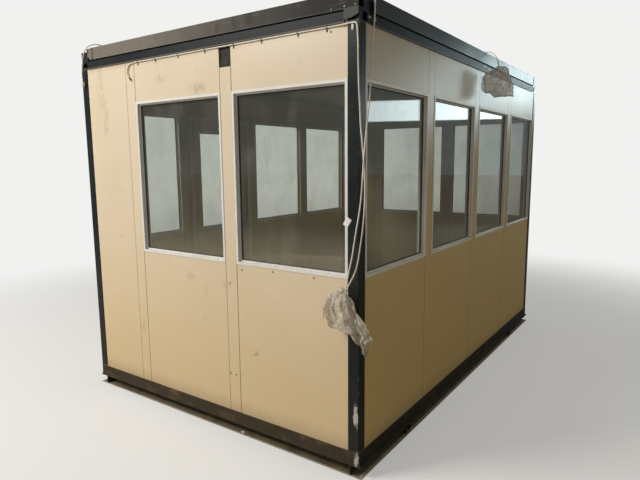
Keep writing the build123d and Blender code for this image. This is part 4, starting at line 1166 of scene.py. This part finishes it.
def studio_world():
    """White for the camera, a dimmer plain light for everything else."""
    world = bpy.data.worlds.new("studio")
    bpy.context.scene.world = world
    world.use_nodes = True
    nodes, links = world.node_tree.nodes, world.node_tree.links
    nodes.clear()
    path = nodes.new("ShaderNodeLightPath")
    light = nodes.new("ShaderNodeBackground")
    light.inputs["Color"].default_value = (1.0, 0.96, 0.88, 1)
    light.inputs["Strength"].default_value = 0.24
    mirrored = nodes.new("ShaderNodeBackground")
    mirrored.inputs["Color"].default_value = (0.80, 0.92, 0.95, 1)
    mirrored.inputs["Strength"].default_value = 0.16
    seen = nodes.new("ShaderNodeBackground")
    seen.inputs["Color"].default_value = (0.88, 0.88, 0.87, 1)
    first = nodes.new("ShaderNodeMixShader")
    second = nodes.new("ShaderNodeMixShader")
    output = nodes.new("ShaderNodeOutputWorld")
    links.new(path.outputs["Is Glossy Ray"], first.inputs[0])
    links.new(light.outputs[0], first.inputs[1])
    links.new(mirrored.outputs[0], first.inputs[2])
    links.new(path.outputs["Is Camera Ray"], second.inputs[0])
    links.new(first.outputs[0], second.inputs[1])
    links.new(seen.outputs[0], second.inputs[2])
    links.new(second.outputs[0], output.inputs["Surface"])


def studio_floor():
    """Pale as the camera sees it, fading into the backdrop; warmer and darker in the light it throws back."""
    bpy.ops.object.select_all(action="DESELECT")
    bpy.ops.mesh.primitive_plane_add(size=120, location=(0, 0, -0.0005))
    ground = bpy.context.active_object
    ground.name = "studio_floor"
    f = Finish("studio_floor", Roughness=0.95, Specular_IOR_Level=0.0)
    seen = f.node("ShaderNodeLightPath", out="Is Camera Ray")
    f.colour(f.blend((0.30, 0.26, 0.21), (0.74, 0.735, 0.72), seen))
    x, y = f.axis("X"), f.axis("Y")
    far = f.step(x * x + y * y, 7.0, 45.0)
    tree = f.tree
    haze = tree.nodes.new("ShaderNodeEmission")
    haze.inputs["Color"].default_value = (0.88, 0.88, 0.87, 1)
    final = tree.nodes.new("ShaderNodeMixShader")
    f.feed(final.inputs[0], (0.35 + 0.65 * far) * seen)
    tree.links.new(f.shader.outputs[0], final.inputs[1])
    tree.links.new(haze.outputs[0], final.inputs[2])
    tree.links.new(final.outputs[0], tree.nodes["Material Output"].inputs["Surface"])
    ground.data.materials.append(f.material)


def studio_lamps():
    for name, place, aim, size, power, colour in (
        ("key", (-4.4, -7.0, 6.4), (-0.4, -1.8, 1.4), (3.4, 3.0), 770, (1, 0.975, 0.93)),
        ("low", (-2.0, -8.0, 0.5), (0, -1.8, 0.3), (4.0, 0.8), 52, (1, 0.93, 0.80)),
        ("side", (8.0, -0.5, 4.8), (1.2, 0, 1.2), (4.0, 4.0), 46, (1, 0.84, 0.55)),
        ("window_row", (5.9, 9.7, 3.16), (1.2, -0.4, 2.1), (7.0, 0.55), 38, (0.86, 0.98, 1)),
        ("roof_row", (3.9, 10.5, 3.9), (1.2, 1.0, 2.5), (2.6, 1.2), 70, (0.76, 0.96, 1)),
    ):
        data = bpy.data.lights.new(name, "AREA")
        data.shape = "RECTANGLE"
        data.size, data.size_y = size
        data.energy = power
        data.color = colour
        lamp = bpy.data.objects.new(name, data)
        lamp.location = place
        lamp.rotation_mode = "QUATERNION"
        lamp.rotation_quaternion = (Vector(aim) - Vector(place)).to_track_quat("-Z", "Y")
        lamp.visible_camera = False
        lamp.visible_glossy = name != "low"
        bpy.context.scene.collection.objects.link(lamp)


studio_world()
studio_floor()
studio_lamps()
bpy.context.scene.view_settings.view_transform = "Standard"
